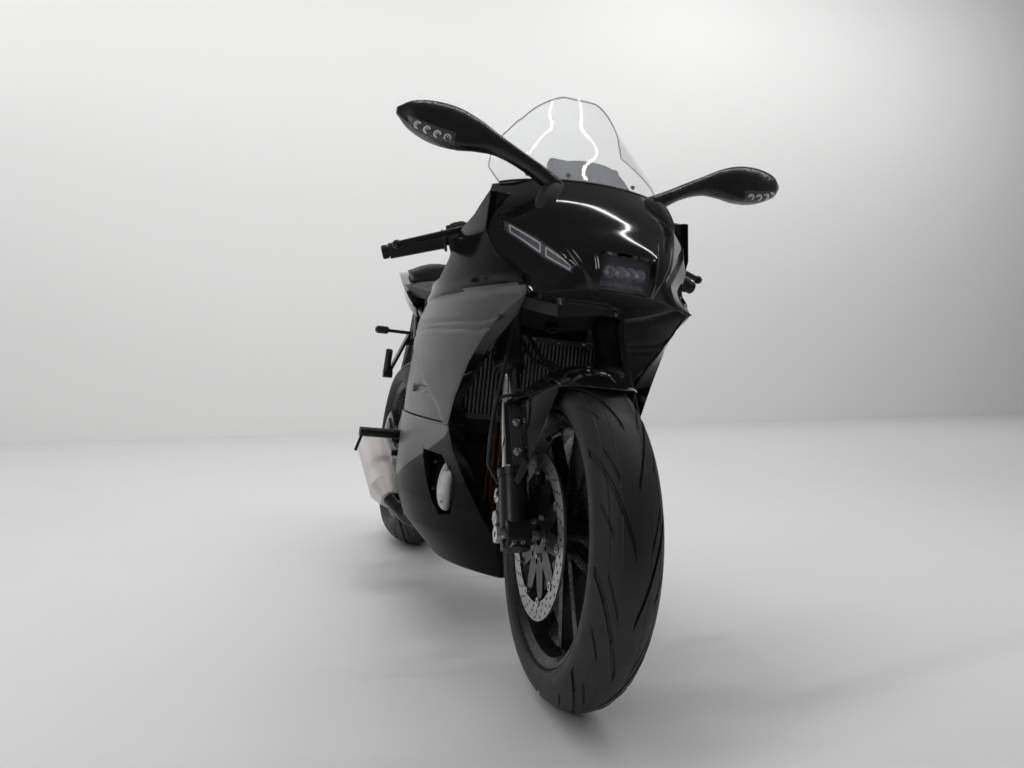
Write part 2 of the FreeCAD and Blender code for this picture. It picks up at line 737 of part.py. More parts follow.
def guard_wing():
    """Flat panels from the arch's side edge out and down over the fork leg's mounting face."""
    def rim_point(x):
        """On the arch's side edge, sunk in its wall."""
        radius = guard_edge + SHELL
        return Vector(x, guard_y - SHELL / 2, math.sqrt(radius ** 2 - x ** 2))

    def leg_point(y, z):
        """On the face ahead of the fork leg."""
        return UNRAKE.inverse().multVec(Vector(GUARD_FACE + SHELL / 2, y, z))

    tip, back, rear = [rim_point(x) for x in (GUARD_CORNER, -49, -94)]
    outer_top, inner_top = leg_point(LEG_Y + 22, 243), leg_point(LEG_Y - 5, 243)
    foot, foot_out = leg_point(LEG_Y - 18, 118), leg_point(LEG_Y + 22, 124)
    return [facet(points, SHELL) for points in (
        (tip, outer_top, back), (back, outer_top, rear), (tip, foot, inner_top),
        (inner_top, foot, foot_out, outer_top), (tip, inner_top, outer_top))]


wings = guard_wing()
wings += [wing.mirror(Vector(), LEFT) for wing in wings]
node("front_mudguard", solid(mudguard_arch().fuse(wings)), FRONT_HUB)

# four-piston caliper: a body that bridges the disc behind the fork leg
disc_y = size("disc_offset")
disc_t = size("disc_thick")


def caliper(reach, height, inner_y, disc_low, disc_high, outer_y, swept_radius):
    """Block that straddles the disc's rim, with a slot wider than the disc."""
    shape = Part.makeBox(52, outer_y - inner_y, height, Vector(reach - 26, inner_y, -height / 2))
    shape = shape.makeChamfer(9, [e for e in shape.Edges if abs(e.Length - height) > 1])
    slot = Part.makeCylinder(swept_radius + 5, disc_high - disc_low + 10,
                             Vector(0, disc_low - 5, 0), LEFT)
    return shape.cut(slot)


front_caliper = caliper(-132, 112, disc_y - 12, disc_y, disc_y + disc_t, disc_y + 44,
                        size("disc_radius"))
front_caliper.Placement = Placement(Vector(), Rotation(LEFT, 32))
front_caliper = front_caliper.cut(lug)
node("front_calipers", both_sides(solid(front_caliper)), FORK)


def hose_route():
    """Brake hose: from under the lever perch, down beside the fork leg, to the caliper."""
    start = on_bar(0.165, 6, -12)
    return ((start.x, start.y, start.z), (60, LEG_Y + 20, upper - 120),
            (52, LEG_Y + 6, lip + 60), (20, LEG_Y + 46, 200), (-60, LEG_Y + 34, 150),
            (-96, LEG_Y + 4, 122))


hose = pipe(hose_route(), (60, 60, 50, 40), 4).cut(bar_rod(0.05, 0.3, PERCH_R + GAP))
hose = max(hose.Solids, key=lambda piece: piece.Volume)
node("brake_hoses", both_sides(solid(hose)), FORK)

# ---------------------------------------------------------------- tank and seats


def crowned(sections):
    """Loft along X of crowned sections.  Columns: x, z_bottom, half_bottom, z_shoulder,
    half_shoulder, z_top."""
    return loft([free_sketch(((-half_bottom, z_bottom), (half_bottom, z_bottom),
                              (half_shoulder, z_shoulder, 0, z_top),
                              (-half_shoulder, z_shoulder)), station(x))
                 for x, z_bottom, half_bottom, z_shoulder, half_shoulder, z_top in sections])


def upright(obj):
    """An object's shape before the machine is leaned over."""
    shape = obj.Shape.copy()
    shape.Placement = Placement()
    return shape


tank = crowned((
    (-770, 722, 88, 770, 100, 812),
    (-690, 715, 112, 800, 128, 872),
    (-580, 712, 128, 850, 158, 962),
    (-470, 735, 130, 880, 160, 1002),
    (-400, 800, 112, 878, 134, 982),
    (-365, 850, 92, 893, 108, 948)))
doc.recompute()
tank_shape = upright(tank)
node("fuel_tank", tank, WORLD)
CAP_AT = Vector(-500, 0, 1000)
cap = Part.makeCylinder(40, 10, CAP_AT, Vector(0.12, 0, 1)).cut(tank_shape)
node("fuel_cap", solid(cap), WORLD)

rider_seat = crowned((
    (-778, 765, 78, 788, 84, 815),
    (-860, 775, 96, 798, 106, 828),
    (-960, 788, 114, 812, 128, 842),
    (-1060, 800, 122, 830, 144, 862),
    (-1140, 810, 122, 842, 148, 872),
    (-1185, 818, 118, 848, 138, 880)))
passenger_seat = crowned((
    (-1200, 862, 112, 892, 122, 930),
    (-1300, 880, 104, 908, 112, 946),
    (-1400, 895, 92, 922, 98, 950),
    (-1445, 902, 76, 926, 82, 944)))
tail = crowned((
    (-1060, 742, 118, 785, 140, 797),
    (-1160, 768, 118, 828, 142, 858),
    (-1300, 800, 106, 872, 132, 896),
    (-1425, 832, 92, 908, 118, 926),
    (-1540, 866, 70, 928, 104, 944),
    (-1632, 896, 44, 934, 84, 950)))
doc.recompute()
rider_shape, passenger_shape = upright(rider_seat), upright(passenger_seat)
node("rider_seat", rider_seat, WORLD)
node("passenger_seat", passenger_seat, WORLD)

# ---------------------------------------------------------------- frame

HEAD_LOW = lower + thick + 3
HEAD_HIGH = upper - 3
head_foot = from_fork(STEM_X, 0, HEAD_LOW)
head_top = from_fork(STEM_X, 0, HEAD_HIGH)
axis_up = (head_top - head_foot).normalize()
head = Part.makeCylinder(size("head_tube_radius"), (head_top - head_foot).Length, head_foot,
                         axis_up)
head_bore = Part.makeCylinder(size("stem_radius") + GAP, 400, head_foot - axis_up * 100, axis_up)
tube = size("frame_tube")
half_case = size("crankcase_half")
arm_in = size("arm_inner")
arm_w = size("arm_width")
axle_x, axle_z = REAR_AXLE.x, REAR_AXLE.z
PIVOT = Vector(size("pivot_x"), 0, size("pivot_z"))
PLATE_THICK = 18
spar_y = half_case + tube + 3
upper_at = head_foot + axis_up * 88
lower_at = head_foot + axis_up * 25
plate_in = arm_in + arm_w + 3
MOUNT = Vector(-440, spar_y, 590)


def side_tubes():
    """One side of the diamond frame: two spars, a diagonal, an engine boss, the pivot plate."""
    knee = (-560, spar_y, 690)
    top_spar = pipe([tuple(upper_at + Vector(-12, 14, 0)), (-380, 120, 745), knee,
                     (-790, spar_y - 6, 600), (-818, spar_y - 6, 470)], (120, 160, 60), tube)
    low_spar = pipe([tuple(lower_at + Vector(-12, 14, 0)), (-370, 95, 690), tuple(MOUNT),
                     (-700, spar_y, 600)], (70, 120), tube)
    diagonal = pipe([tuple(MOUNT), (-470, spar_y, 640), knee], (30,), tube - 4)
    inner = size("cylinder_half")
    boss = Part.makeCylinder(14, spar_y - inner, MOUNT - Vector(0, spar_y - inner, 0), LEFT)
    pivot_plate = plate_y(((-850, 500), (-790, 500), (-778, 430), (-785, 340), (-805, 305),
                           (-865, 305), (-880, 340), (-868, 400)), plate_in, PLATE_THICK)
    pad = Part.makeCylinder(14, 30, Vector(-600, 60, 690), UP)
    return [top_spar, low_spar, diagonal, boss, pivot_plate, pad]


frame_parts = side_tubes()
frame_parts += [part.mirror(Vector(), LEFT) for part in frame_parts]
frame_parts.append(bar_y(-790, 600, spar_y - 6, tube - 3))
frame_parts.append(bar_y(-826, 470, plate_in + 5, tube - 4))
frame_parts.append(bar_y(-600, 690, spar_y + 3, tube - 7))
frame_parts.append(bar_y(PIVOT.x, PIVOT.z, plate_in + PLATE_THICK, 10))
frame_shape = head.fuse(frame_parts).cut([head_bore, tank_shape])
node("main_frame", solid(frame_shape), WORLD)

rail = size("rail_tube")
REST_AT = Vector(-985, 0, 664)
REST_FACE = 146


def passenger_rest():
    """Hanger that splays out and down from the seat rail, with its peg folded up."""
    hanger = Part.makePolygon([Vector(*p) for p in (
        (-965, REST_FACE, 684), (-1005, REST_FACE, 684), (-1062, 188, 558), (-1030, 188, 558),
        (-965, REST_FACE, 684))])
    shape = Part.Face(hanger).extrude(Vector(0, 8, 0))
    lug = Part.makeCylinder(13, 26, Vector(-1046, 178, 566), LEFT)
    peg = pipe([(-1046, 195, 566), (-1004, 199, 632)], (), 10)
    return shape.fuse([lug, peg])


rest_shape = passenger_rest()


def seat_rails():
    """One side of the subframe: an upper rail, a stay from the pivot plate, a footrest boss."""
    upper_rail = pipe([(-770, spar_y - 8, 640), (-900, 120, 720), (-1150, 100, 790),
                       (-1470, 70, 862)], (140, 300), rail)
    stay = pipe([(-846, plate_in + 9, 505), (-960, 130, 640), (-1150, 98, 775)], (150,), rail)
    boss = Part.makeCylinder(12, REST_FACE - 109, Vector(REST_AT.x, 120, REST_AT.z), LEFT)
    return [upper_rail, stay, boss.cut(rest_shape)]


rails = seat_rails()
rails += [part.mirror(Vector(), LEFT) for part in rails]
rails.append(bar_y(-1440, 855, 76, rail))
rails.append(Part.makeBox(24, 216, 45, Vector(-1012, -108, 755)))
subframe_shape = rails[0].fuse(rails[1:]).cut([frame_shape, rider_shape, tank_shape])
# the cuts leave specks at the tube ends beside the whole frame
node("subframe", solid(max(subframe_shape.Solids, key=lambda piece: piece.Volume)), WORLD)

# ---------------------------------------------------------------- engine

DECK = Vector(-535, 0, 470)
CYL_LEAN = 20
lean = math.radians(CYL_LEAN)
deck_front = (DECK.x + 79 * math.cos(lean), DECK.z - 79 * math.sin(lean))
deck_rear = (DECK.x - 66 * math.cos(lean), DECK.z + 66 * math.sin(lean))
engine = new_body("engine_block")
padded(engine, "XZ_Plane", (
    (-765, 300), (-735, 235), (-690, 212), (-500, 212), (-450, 260), (-435, 330), (-450, 420),
    ("%g" % deck_front[0], "%g" % deck_front[1]), ("%g" % deck_rear[0], "%g" % deck_rear[1]),
    (-640, 480), (-680, 455), (-760, 450), (-800, 440), (-800, 420), (-750, 400)),
    "crankcase_half * 2")
CHAIN_ROOM = 84
pocket(engine, "XZ_Plane", ((-820, 270), (-685, 270), (-685, 420), (-820, 420)),
       "2 * (crankcase_half - %g)" % CHAIN_ROOM, "-crankcase_half")
node("engine_block", engine, WORLD)

cylinder = new_body("cylinder_head")
padded(cylinder, "XZ_Plane", ((-60, 0), (75, 0), (82, 95), (88, 110), (88, 150), (70, 178),
                              (-58, 178), (-76, 150), (-76, 110), (-70, 95)),
       "cylinder_half * 2")
CYL_PLACE = Placement(DECK + Vector(math.sin(lean), 0, math.cos(lean)) * GAP,
                      Rotation(LEFT, CYL_LEAN))
node("cylinder_head", cylinder, WORLD.multiply(CYL_PLACE))


def cover(x, z, radius, depth, side):
    """Round cast cover with a stepped face."""
    out = Vector(0, side, 0)
    face = Vector(x, side * half_case, z)
    shape = Part.makeCylinder(radius, depth * 0.6, face, out)
    return shape.fuse(Part.makeCone(radius - 6, radius - 22, depth * 0.4, face + out * depth * 0.6,
                                    out))


clutch = cover(-514, 345, 84, 28, -1).fuse(cover(-620, 318, 50, 20, -1))
generator = cover(-520, 340, 72, 28, 1)
sprocket_cover = plate_y(((-768, 290), (-740, 262), (-675, 262), (-675, 428), (-768, 428)),
                         half_case, 6)
node("engine_covers", group([solid(clutch), solid(generator), solid(sprocket_cover)]), WORLD)

OUTPUT = Vector(size("output_x"), chain_y, size("output_z"))
output = sprocket(size("front_teeth"), 10, SPROCKET_THICK)
output.translate(OUTPUT)
collar = Part.makeCylinder(18, chain_y - SPROCKET_THICK / 2 - CHAIN_ROOM,
                           Vector(OUTPUT.x, CHAIN_ROOM, OUTPUT.z), LEFT)
shaft = Part.makeCylinder(11, chain_y - CHAIN_ROOM + 12, Vector(OUTPUT.x, CHAIN_ROOM, OUTPUT.z),
                          LEFT)
node("front_sprocket", solid(output.fuse([collar, shaft])), WORLD)


def chain_loop():
    """Closed belt of link plates round both sprockets: two plates and rollers on the runs."""
    big, small = pitch_radius(size("rear_teeth")), pitch_radius(size("front_teeth"))
    span = math.hypot(OUTPUT.x - REAR_AXLE.x, OUTPUT.z - REAR_AXLE.z)
    tilt = math.atan2(OUTPUT.z - REAR_AXLE.z, OUTPUT.x - REAR_AXLE.x)
    angle = math.acos((big - small) / span)

    def outline(grow):
        pts = []
        for radius, centre, turns in ((big + grow, Vector(), (angle, math.pi, -angle)),
                                      (small + grow, Vector(span, 0, 0), (-angle, 0, angle))):
            for turn in turns:
                pts.append(centre + Vector(radius * math.cos(turn), 0, radius * math.sin(turn)))
        return Part.Wire([Part.Arc(pts[0], pts[1], pts[2]).toShape(),
                          Part.LineSegment(pts[2], pts[3]).toShape(),
                          Part.Arc(pts[3], pts[4], pts[5]).toShape(),
                          Part.LineSegment(pts[5], pts[0]).toShape()])

    belt = Part.Face(outline(7)).cut(Part.Face(outline(-7)))
    plates = []
    for y in (4.5, -7.5):
        piece = belt.extrude(Vector(0, 3, 0))
        piece.translate(Vector(0, y, 0))
        plates.append(piece)
    rollers = []
    run = span * math.sin(angle)
    step = size("chain_pitch") * 2
    for sign in (1, -1):
        along = Vector(math.sin(angle), 0, -sign * math.cos(angle))
        first = Vector(big * math.cos(angle), 0, sign * big * math.sin(angle))
        for i in range(2, int(run / step) - 1):
            rollers.append(Part.makeBox(8, 12, 8, first + along * (i * step) - Vector(4, 6, 4)))
    shape = plates[0].fuse([plates[1]] + rollers)
    shape.rotate(Vector(), LEFT, -math.degrees(tilt))
    shape.translate(REAR_AXLE + LEFT * chain_y)
    # rollers in the gaps between the gearbox sprocket's front teeth
    pitch = 2 * math.pi / size("front_teeth")
    seated = []
    for i in range(-4, 4):
        a = (i + 0.5) * pitch
        at = OUTPUT + Vector(small * math.cos(a), -6, small * math.sin(a))
        seated.append(Part.makeCylinder(4.2, 12, at, LEFT))
    return shape.fuse(seated)


node("chain", solid(chain_loop()), WORLD)

# ---------------------------------------------------------------- cooling and exhaust

rad_half = size("radiator_half")
rad_x = size("radiator_x")
rad_thick = size("radiator_thick")
RAD_LOW, RAD_HIGH = 485, 676


def radiator():
    """Upright finned core between side tanks, with two lugs up to the frame."""
    height = RAD_HIGH - RAD_LOW
    core = Part.makeBox(rad_thick - 8, 2 * rad_half, height - 20,
                        Vector(rad_x - rad_thick + 4, -rad_half, RAD_LOW + 10))
    tanks = [Part.makeBox(rad_thick, 20, height, Vector(rad_x - rad_thick, y, RAD_LOW))
             for y in (-rad_half - 16, rad_half - 4)]
    edges = [Part.makeBox(rad_thick, 2 * rad_half, 12, Vector(rad_x - rad_thick, -rad_half, z))
             for z in (RAD_LOW, RAD_HIGH - 12)]
    ribs = [Part.makeBox(5, 4, height - 22, Vector(rad_x - 7, y, RAD_LOW + 11))
            for y in range(12 - int(rad_half), int(rad_half) - 10, 15)]
    lugs = [Part.makeBox(50, 14, 34, Vector(rad_x - rad_thick - 30, y, RAD_HIGH - 14))
            for y in (-103, 89)]
    return core.fuse(tanks + edges + ribs + lugs).cut(frame_shape)


rad_shape = max(radiator().Solids, key=lambda piece: piece.Volume)
node("radiator", solid(rad_shape), WORLD)

header_r = size("header_radius")
port = CYL_PLACE.multVec(Vector(88.3, 0, 130))
SUMP_Z = 178


def header(y):
    """One pipe: out of the head, down in front of the engine, back under the sump."""
    return pipe([(port.x, y, port.z), (port.x + 32, y, port.z - 11.6), (-392, y * 0.9, 300),
                 (-424, y * 0.75, SUMP_Z + 8), (-560, y * 0.6, SUMP_Z), (-650, y * 0.35, SUMP_Z)],
                (30, 150, 60, 200), header_r)


collector = Part.makeCylinder(30, 60, Vector(-635, 0, SUMP_Z), Vector(-1, 0, 0))
MUFFLER_FROM = Vector(-795, -190, 230)
MUFFLER_TO = Vector(-1070, -214, 370)
muffler_along = (MUFFLER_TO - MUFFLER_FROM).normalize()
link_end = MUFFLER_FROM + muffler_along * 12
link = pipe([(-680, 0, SUMP_Z), (-715, -30, SUMP_Z), (-742, -150, 195), tuple(link_end)],
            (25, 35), 22)
headers = header(48).fuse([header(-48), collector, link])
node("exhaust_header", solid(headers), WORLD)


def muffler():
    """Straight can with a tapered front and an angled end cap with its outlet."""
    r = size("muffler_radius")
    along = muffler_along
    length = (MUFFLER_TO - MUFFLER_FROM).Length
    front = Part.makeCone(27, r, 50, MUFFLER_FROM, along)
    can = Part.makeCylinder(r, length - 80, MUFFLER_FROM + along * 50, along)
    cap = Part.makeCone(r - 1, r - 14, 30, MUFFLER_TO - along * 30, along)
    outlet = Part.makeCylinder(24, 60, MUFFLER_TO - along * 45, along)
    strap = Part.makeBox(30, 30, 60, MUFFLER_FROM + along * 100 + Vector(-15, 15, 0))
    shape = front.fuse([can, cap, strap]).cut(outlet)
    return max(shape.cut([headers, frame_shape]).Solids, key=lambda piece: piece.Volume)


node("muffler", solid(muffler()), WORLD)

# ---------------------------------------------------------------- swingarm, shock, rear brake

BLOCK_FRONT = axle_x + 115
BLOCK_HALF = 30


def swingarm():
    """Two beams on a pivot tube, tied by a cross member ahead of the tyre."""
    beam = plate_y(((BLOCK_FRONT, axle_z + BLOCK_HALF), (PIVOT.x - 120, PIVOT.z + 32),
                    (PIVOT.x + 24, PIVOT.z + 24), (PIVOT.x + 24, PIVOT.z - 24),
                    (PIVOT.x - 120, PIVOT.z - 36), (BLOCK_FRONT, axle_z - BLOCK_HALF)),
                   arm_in, arm_w)
    cross = Part.makeBox(70, 2 * arm_in + 4, 62,
                         Vector(axle_x + REAR_R + 30, -arm_in - 2, PIVOT.z - 34))
    shape = bar_y(PIVOT.x, PIVOT.z, arm_in + 2, 27).fuse([beam, beam.mirror(Vector(), LEFT), cross])
    return shape.cut(bar_y(PIVOT.x, PIVOT.z, 2 * arm_in, 10 + GAP))


arm_shape = swingarm()
node("swingarm", solid(arm_shape), WORLD)


def axle_block():
    """Casting that carries the axle at a beam's end, with a tapped hole for a stand spool."""
    shape = Part.makeBox(BLOCK_FRONT - axle_x + 60, arm_w, 2 * BLOCK_HALF,
                         Vector(axle_x - 60, arm_in, axle_z - BLOCK_HALF))
    spool = Part.makeCylinder(4, 15, Vector(axle_x + 95, arm_in + arm_w, axle_z - 4), -LEFT)
    return shape.cut([bar_y(axle_x, axle_z, 2 * arm_in, size("axle_radius") + GAP), spool])


block_shape = axle_block()
node("axle_blocks", both_sides(solid(block_shape)), WORLD)

SHOCK_LOW = Vector(axle_x + REAR_R + 68, 0, PIVOT.z + 42)
SHOCK_TOP = Vector(-792, 0, 596)


def shock():
    """Damper in a coil spring between the cross member and the frame's cross tube."""
    along = (SHOCK_TOP - SHOCK_LOW).normalize()
    length = (SHOCK_TOP - SHOCK_LOW).Length
    damper = Part.makeCylinder(11, length, SHOCK_LOW, along)
    spring = Part.makeCylinder(31, length - 90, SHOCK_LOW + along * 32, along)
    seats = [Part.makeCylinder(36, 8, SHOCK_LOW + along * s, along) for s in (26, length - 60)]
    eye = Part.makeCylinder(16, 30, SHOCK_LOW - Vector(0, 15, 0), LEFT)
    return damper.fuse([spring, eye] + seats)


shock_shape = shock().cut([arm_shape, frame_shape])
shock_shape = max(shock_shape.Solids, key=lambda piece: piece.Volume)
node("rear_shock", solid(shock_shape), WORLD)

rear_disc_y = size("rear_disc_offset")
CALIPER_TURN = 118
rear_caliper = caliper(-104, 84, rear_disc_y - 11, rear_disc_y, rear_disc_y + disc_t,
                       rear_disc_y + 12, size("rear_disc_radius"))
rear_caliper.Placement = Placement(Vector(), Rotation(LEFT, CALIPER_TURN))
rear_caliper = rear_caliper.mirror(Vector(), LEFT)
rear_caliper.translate(REAR_AXLE)
CALIPER_AT = REAR_AXLE + Vector(48.8, 0, 91.8)


def caliper_bracket():
    """Flat arm from a ring round the axle to the caliper's outer face."""
    inner = -arm_in + GAP
    across = (CALIPER_AT - REAR_AXLE).normalize().cross(LEFT) * 22
    corners = [REAR_AXLE + across, CALIPER_AT + across, CALIPER_AT - across, REAR_AXLE - across]
    arm = plate_y([(c.x, c.z) for c in corners], inner, 5.7)
    ring = Part.makeCylinder(30, 5.7, REAR_AXLE + LEFT * inner, LEFT)
    return ring.fuse(arm).cut(bar_y(axle_x, axle_z, 200, size("axle_radius") + GAP))


rear_caliper = rear_caliper.cut(arm_shape).fuse(caliper_bracket())
node("rear_caliper", solid(rear_caliper), WORLD)

# ---------------------------------------------------------------- tail

tail_shape = upright(tail)
tail_solid = tail_shape
tail_shape = tail_shape.cut([rider_shape, passenger_shape, subframe_shape])
tail_shape = max(tail_shape.Solids, key=lambda piece: piece.Volume)
node("tail_fairing", solid(tail_shape), WORLD)

lamp = Part.makeBox(16, 116, 18, Vector(-1646, -58, 912))
node("tail_lamp", solid(lamp.cut(tail_solid)), WORLD)

ARM_HALF = 32


def mudguard_arm():
    """Plate holder: an arm that leaves the tail and carries the plate and both indicators."""
    return plate_y(((-1478, 870), (-1440, 862), (-1560, 700), (-1700, 560), (TAIL_END, 540),
                    (TAIL_END, 548), (-1712, 575), (-1600, 735), (-1540, 880)), -ARM_HALF,
                   2 * ARM_HALF)


arm_cut = mudguard_arm().cut([tail_solid, subframe_shape])
arm_cut = max(arm_cut.Solids, key=lambda piece: piece.Volume)
node("rear_mudguard", solid(arm_cut), WORLD)


def indicator(x, y_tip, z):
    stalk = Part.makeCylinder(6, y_tip - ARM_HALF - 36, Vector(x, ARM_HALF, z), LEFT)
    lens = Part.makeBox(36, 48, 26, Vector(x - 18, y_tip - 48, z - 13))
    return stalk.fuse(lens.makeChamfer(7, lens.Edges))


node("rear_indicators", both_sides(solid(indicator(-1588, 158, 722))), WORLD)

# ---------------------------------------------------------------- fairing


def folded_panel(sections):
    """Loft along Z of thin plans: a front return, a crease, then a bulging arc to the rear.
    Columns: z, return's edge x and y, crease x and y, middle x and y, rear x and y, all on the
    outer face of the left panel."""
    profiles = []
    for z, ix, iy, fx, fy, mx, my, rx, ry in sections:
        edge, crease, middle, rear = [Vector(*p) for p in ((ix, iy), (fx, fy), (mx, my), (rx, ry))]
        centre = Part.Arc(crease, middle, rear).toShape().Curve.Center
        along = (crease - edge).normalize()
        off_return = Vector(-along.y, along.x)
        inward = [(centre - point).normalize() for point in (crease, middle, rear)]
        mitre = (off_return + inward[0]) / (1 + off_return.dot(inward[0]))
        inner_rear, inner_middle = rear + inward[2] * SHELL, middle + inward[1] * SHELL
        inner_crease, inner_edge = crease + mitre * SHELL, edge + off_return * SHELL
        profiles.append(free_sketch((
            (ix, iy), (fx, fy, mx, my), (rx, ry),
            (inner_rear.x, inner_rear.y, inner_middle.x, inner_middle.y),
            (inner_crease.x, inner_crease.y), (inner_edge.x, inner_edge.y)), level(z)))
    return loft(profiles, ruled=True)


# where the cowl meets each side panel: a line up from the nose, seen from the side
SEAM = ((66, 722), (24, 760), (-33, 794), (-56, 838), (-60, 915))
SIDE = (
    (930, -62, 186, -60, 196, -150, 203, -300, 190),
    (840, -58, 190, -52, 202, -240, 212, -530, 180),
    (794, -32, 168, -26, 178, -245, 211, -525, 187),
    (760, 23, 144, 26, 152, -245, 210, -515, 192),
    (722, 61, 151, 66, 157, -245, 213, -560, 200),
    (690, 20, 154, -20, 170, -245, 215, -595, 205),
    (650, -50, 160, -75, 184, -270, 218, -630, 203),
    (600, -140, 164, -125, 195, -315, 222, -675, 200),
    (530, -262, 160, -175, 203, -365, 220, -700, 200),
    (474, -300, 148, -208, 203, -375, 216, -712, 199),
    (440, -300, 142, -232, 190, -388, 210, -718, 198))
LOWER = (
    (500, -285, 152, -195, 203, -365, 218, -705, 200),
    (474, -300, 148, -208, 203, -375, 216, -712, 199),
    (420, -290, 140, -245, 178, -395, 207, -722, 196),
    (350, -316, 100, -300, 130, -430, 195, -735, 190),
    (290, -316, 66, -308, 92, -455, 184, -745, 186),
    (220, -320, 26, -322, 40, -480, 158, -740, 158),
    (138, -342, 8, -345, 16, -485, 92, -700, 90))
side_panel = common(folded_panel(SIDE), prism(
    SEAM + ((-128, 878), (-214, 858), (-250, 826), (-310, 792), (-345, 778), (-400, 775),
            (-522, 775), (-566, 690), (-690, 560), (-712, "seam_height"),
            (100, "seam_height"), (100, 722)), slice_at(170), 160))
node("side_fairing_left", group([side_panel]), WORLD)
node("side_fairing_right", mirrored(side_panel), WORLD)

lower_panel = common(folded_panel(LOWER), prism(
    ((-150, "seam_height - fit_gap"), (-150, 130), (-690, 130), (-700, 250), (-725, 320),
     (-712, "seam_height - fit_gap")), slice_at(130), 250))
window = prism(((-403, 440), (-320, 430), (-300, 405), (-300, 325), (-350, 335), (-405, 418)),
               slice_at(190), 100)
lower_panel = cut(lower_panel, window)
pan_floor = prism(((-341, 9, -485, 90.5), (-685, 89), (-685, -89, -485, -90.5), (-341, -9)),
                  level(138), "shell", False)
node("belly_pan", joined([lower_panel, mirrored(lower_panel), pan_floor]), WORLD)


def cowl_panel(sections, thickness):
    """Loft along Z of thin U-shaped plans: a nose arc with a straight cheek each side.
    Columns: z, nose x, corner x, corner y, rear x, rear y."""
    profiles = []
    for z, nose, cx, cy, rx, ry in sections:
        inner = "%g - %s"
        profiles.append(free_sketch((
            (rx, -ry), (cx, -cy, nose, 0), (cx, cy), (rx, ry), (rx, inner % (ry, thickness)),
            ("%g - %s * 0.5" % (cx, thickness), inner % (cy, thickness),
             inner % (nose, thickness), 0),
            ("%g - %s * 0.5" % (cx, thickness), "-(%g - %s)" % (cy, thickness)),
            (rx, "-(%g - %s)" % (ry, thickness))), level(z)))
    return loft(profiles)


def cowl_solid(sections):
    """The cowl's whole envelope, from its nose back to its rear edge."""
    grown = "%g + fit_gap"
    return loft([free_sketch(((rx, "-(%s)" % (grown % ry)), (cx, "-(%s)" % (grown % cy),
                                                            grown % nose, 0),
                              (cx, grown % cy), (rx, grown % ry)), level(z))
                 for z, nose, cx, cy, rx, ry in sections])


COWL = (
    (722, 103, 78, 124, 67, 157),
    (770, 120, 84, 100, -20, 184),
    (830, 100, 52, 118, -50, 203),
    (890, 52, 12, 130, -80, 204),
    (945, -13, -64, 130, -140, 180))
behind_seam = prism(((66.3, 700), (66.3, 722.3), (24.3, 760.3), (-32.7, 794.3), (-55.7, 838),
                     (-59.7, 915.3), (-300, 915.3), (-300, 700)), slice_at(0), 600)
under_nose = prism(((-134, 700), (134, 700), (130, 726, 0, 741), (-130, 726)), station(60), 300)
lamp_hole = prism(((-46, 740), (46, 740), (50, 800), (-50, 800)), station(110), 120)
cowl = cut(cut(cut(cowl_panel(COWL, "shell"), behind_seam), under_nose), lamp_hole)
doc.recompute()
cowl_shape = upright(cowl)
node("front_cowl", cowl, WORLD)

lamp_body = prism(((-44, 742), (44, 742), (48, 798), (-48, 798)), station(70), 44)
doc.recompute()
lamp_shape = upright(lamp_body)
node("headlamps", lamp_body, WORLD)


def screen():
    """Bubble screen: thin plan arcs, trimmed to its outlines from the side and the front."""
    sections = []
    for z, nose, sx, sy in ((930, 0, -150, 186), (1000, -62, -180, 180), (1060, -107, -235, 150),
                            (1110, -146, -290, 112), (1170, -190, -310, 70)):
        sections.append(free_sketch((
            (sx, -sy, nose, 0), (sx, sy), (sx, "%g - shell" % sy, "%g - shell" % nose, 0),
            (sx, "-(%g - shell)" % sy)), level(z)))
    side = prism(((-5, 945.3), (-120, 945.3), (-170, 985), (-300, 1100), (-260, 1150),
                  (-186, 1164), (-100, 1164), (20, 960)), slice_at(0), 400)
    ahead = prism(((-200, 930), (200, 930), (200, 1080), (110, 1108, 0, 1163), (-110, 1108),
                   (-200, 1080)), station(-150), 400)
    return common(common(loft(sections), side), ahead)


node("windscreen", screen(), WORLD)

# mirror: a shell tapering to its tip, on an arm from the cowl
MIRROR = (  # y, x middle, z middle, half depth, half height
    (246, -26, 1000, 16, 24),
    (290, -32, 1006, 27, 38),
    (345, -38, 1010, 28, 36),
    (MIRROR_REACH, -46, 1015, 12, 14))


def mirror_shell():
    sections = []
    for y, x, z, depth, height in MIRROR:
        sections.append(free_sketch((
            (x - depth, z - height * 0.8), (x + depth * 0.5, z - height), (x + depth, z - height * 0.2),
            (x + depth * 0.4, z + height), (x - depth, z + height * 0.9)), slice_at(y)))
    return loft(sections, True)


cowl_full = cowl_solid(COWL)
shell_obj = mirror_shell()
doc.recompute()
cowl_block = upright(cowl_full)
arm = pipe([(-14, 92, 922), (-8, 118, 940), (-20, 155, 966), (-26, 200, 992), (-26, 262, 1003)],
           (20, 60, 60), 12)
arm = max(arm.cut([cowl_block, cowl_shape]).Solids, key=lambda piece: piece.BoundBox.ZMax)
mirror = joined([shell_obj, solid(arm)])
node("mirror_left", group([mirror]), WORLD)
node("mirror_right", mirrored(mirror), WORLD)

# instruments, and the stay that carries them, the lamps and the cowl from the steering head
dash = Part.makeBox(22, 150, 84, Vector(-11, -75, -42))
dash = dash.makeChamfer(6, dash.Edges)
dash.Placement = Placement(Vector(-115, 0, 975), Rotation(LEFT, -28))
node("instrument_panel", solid(dash), WORLD)


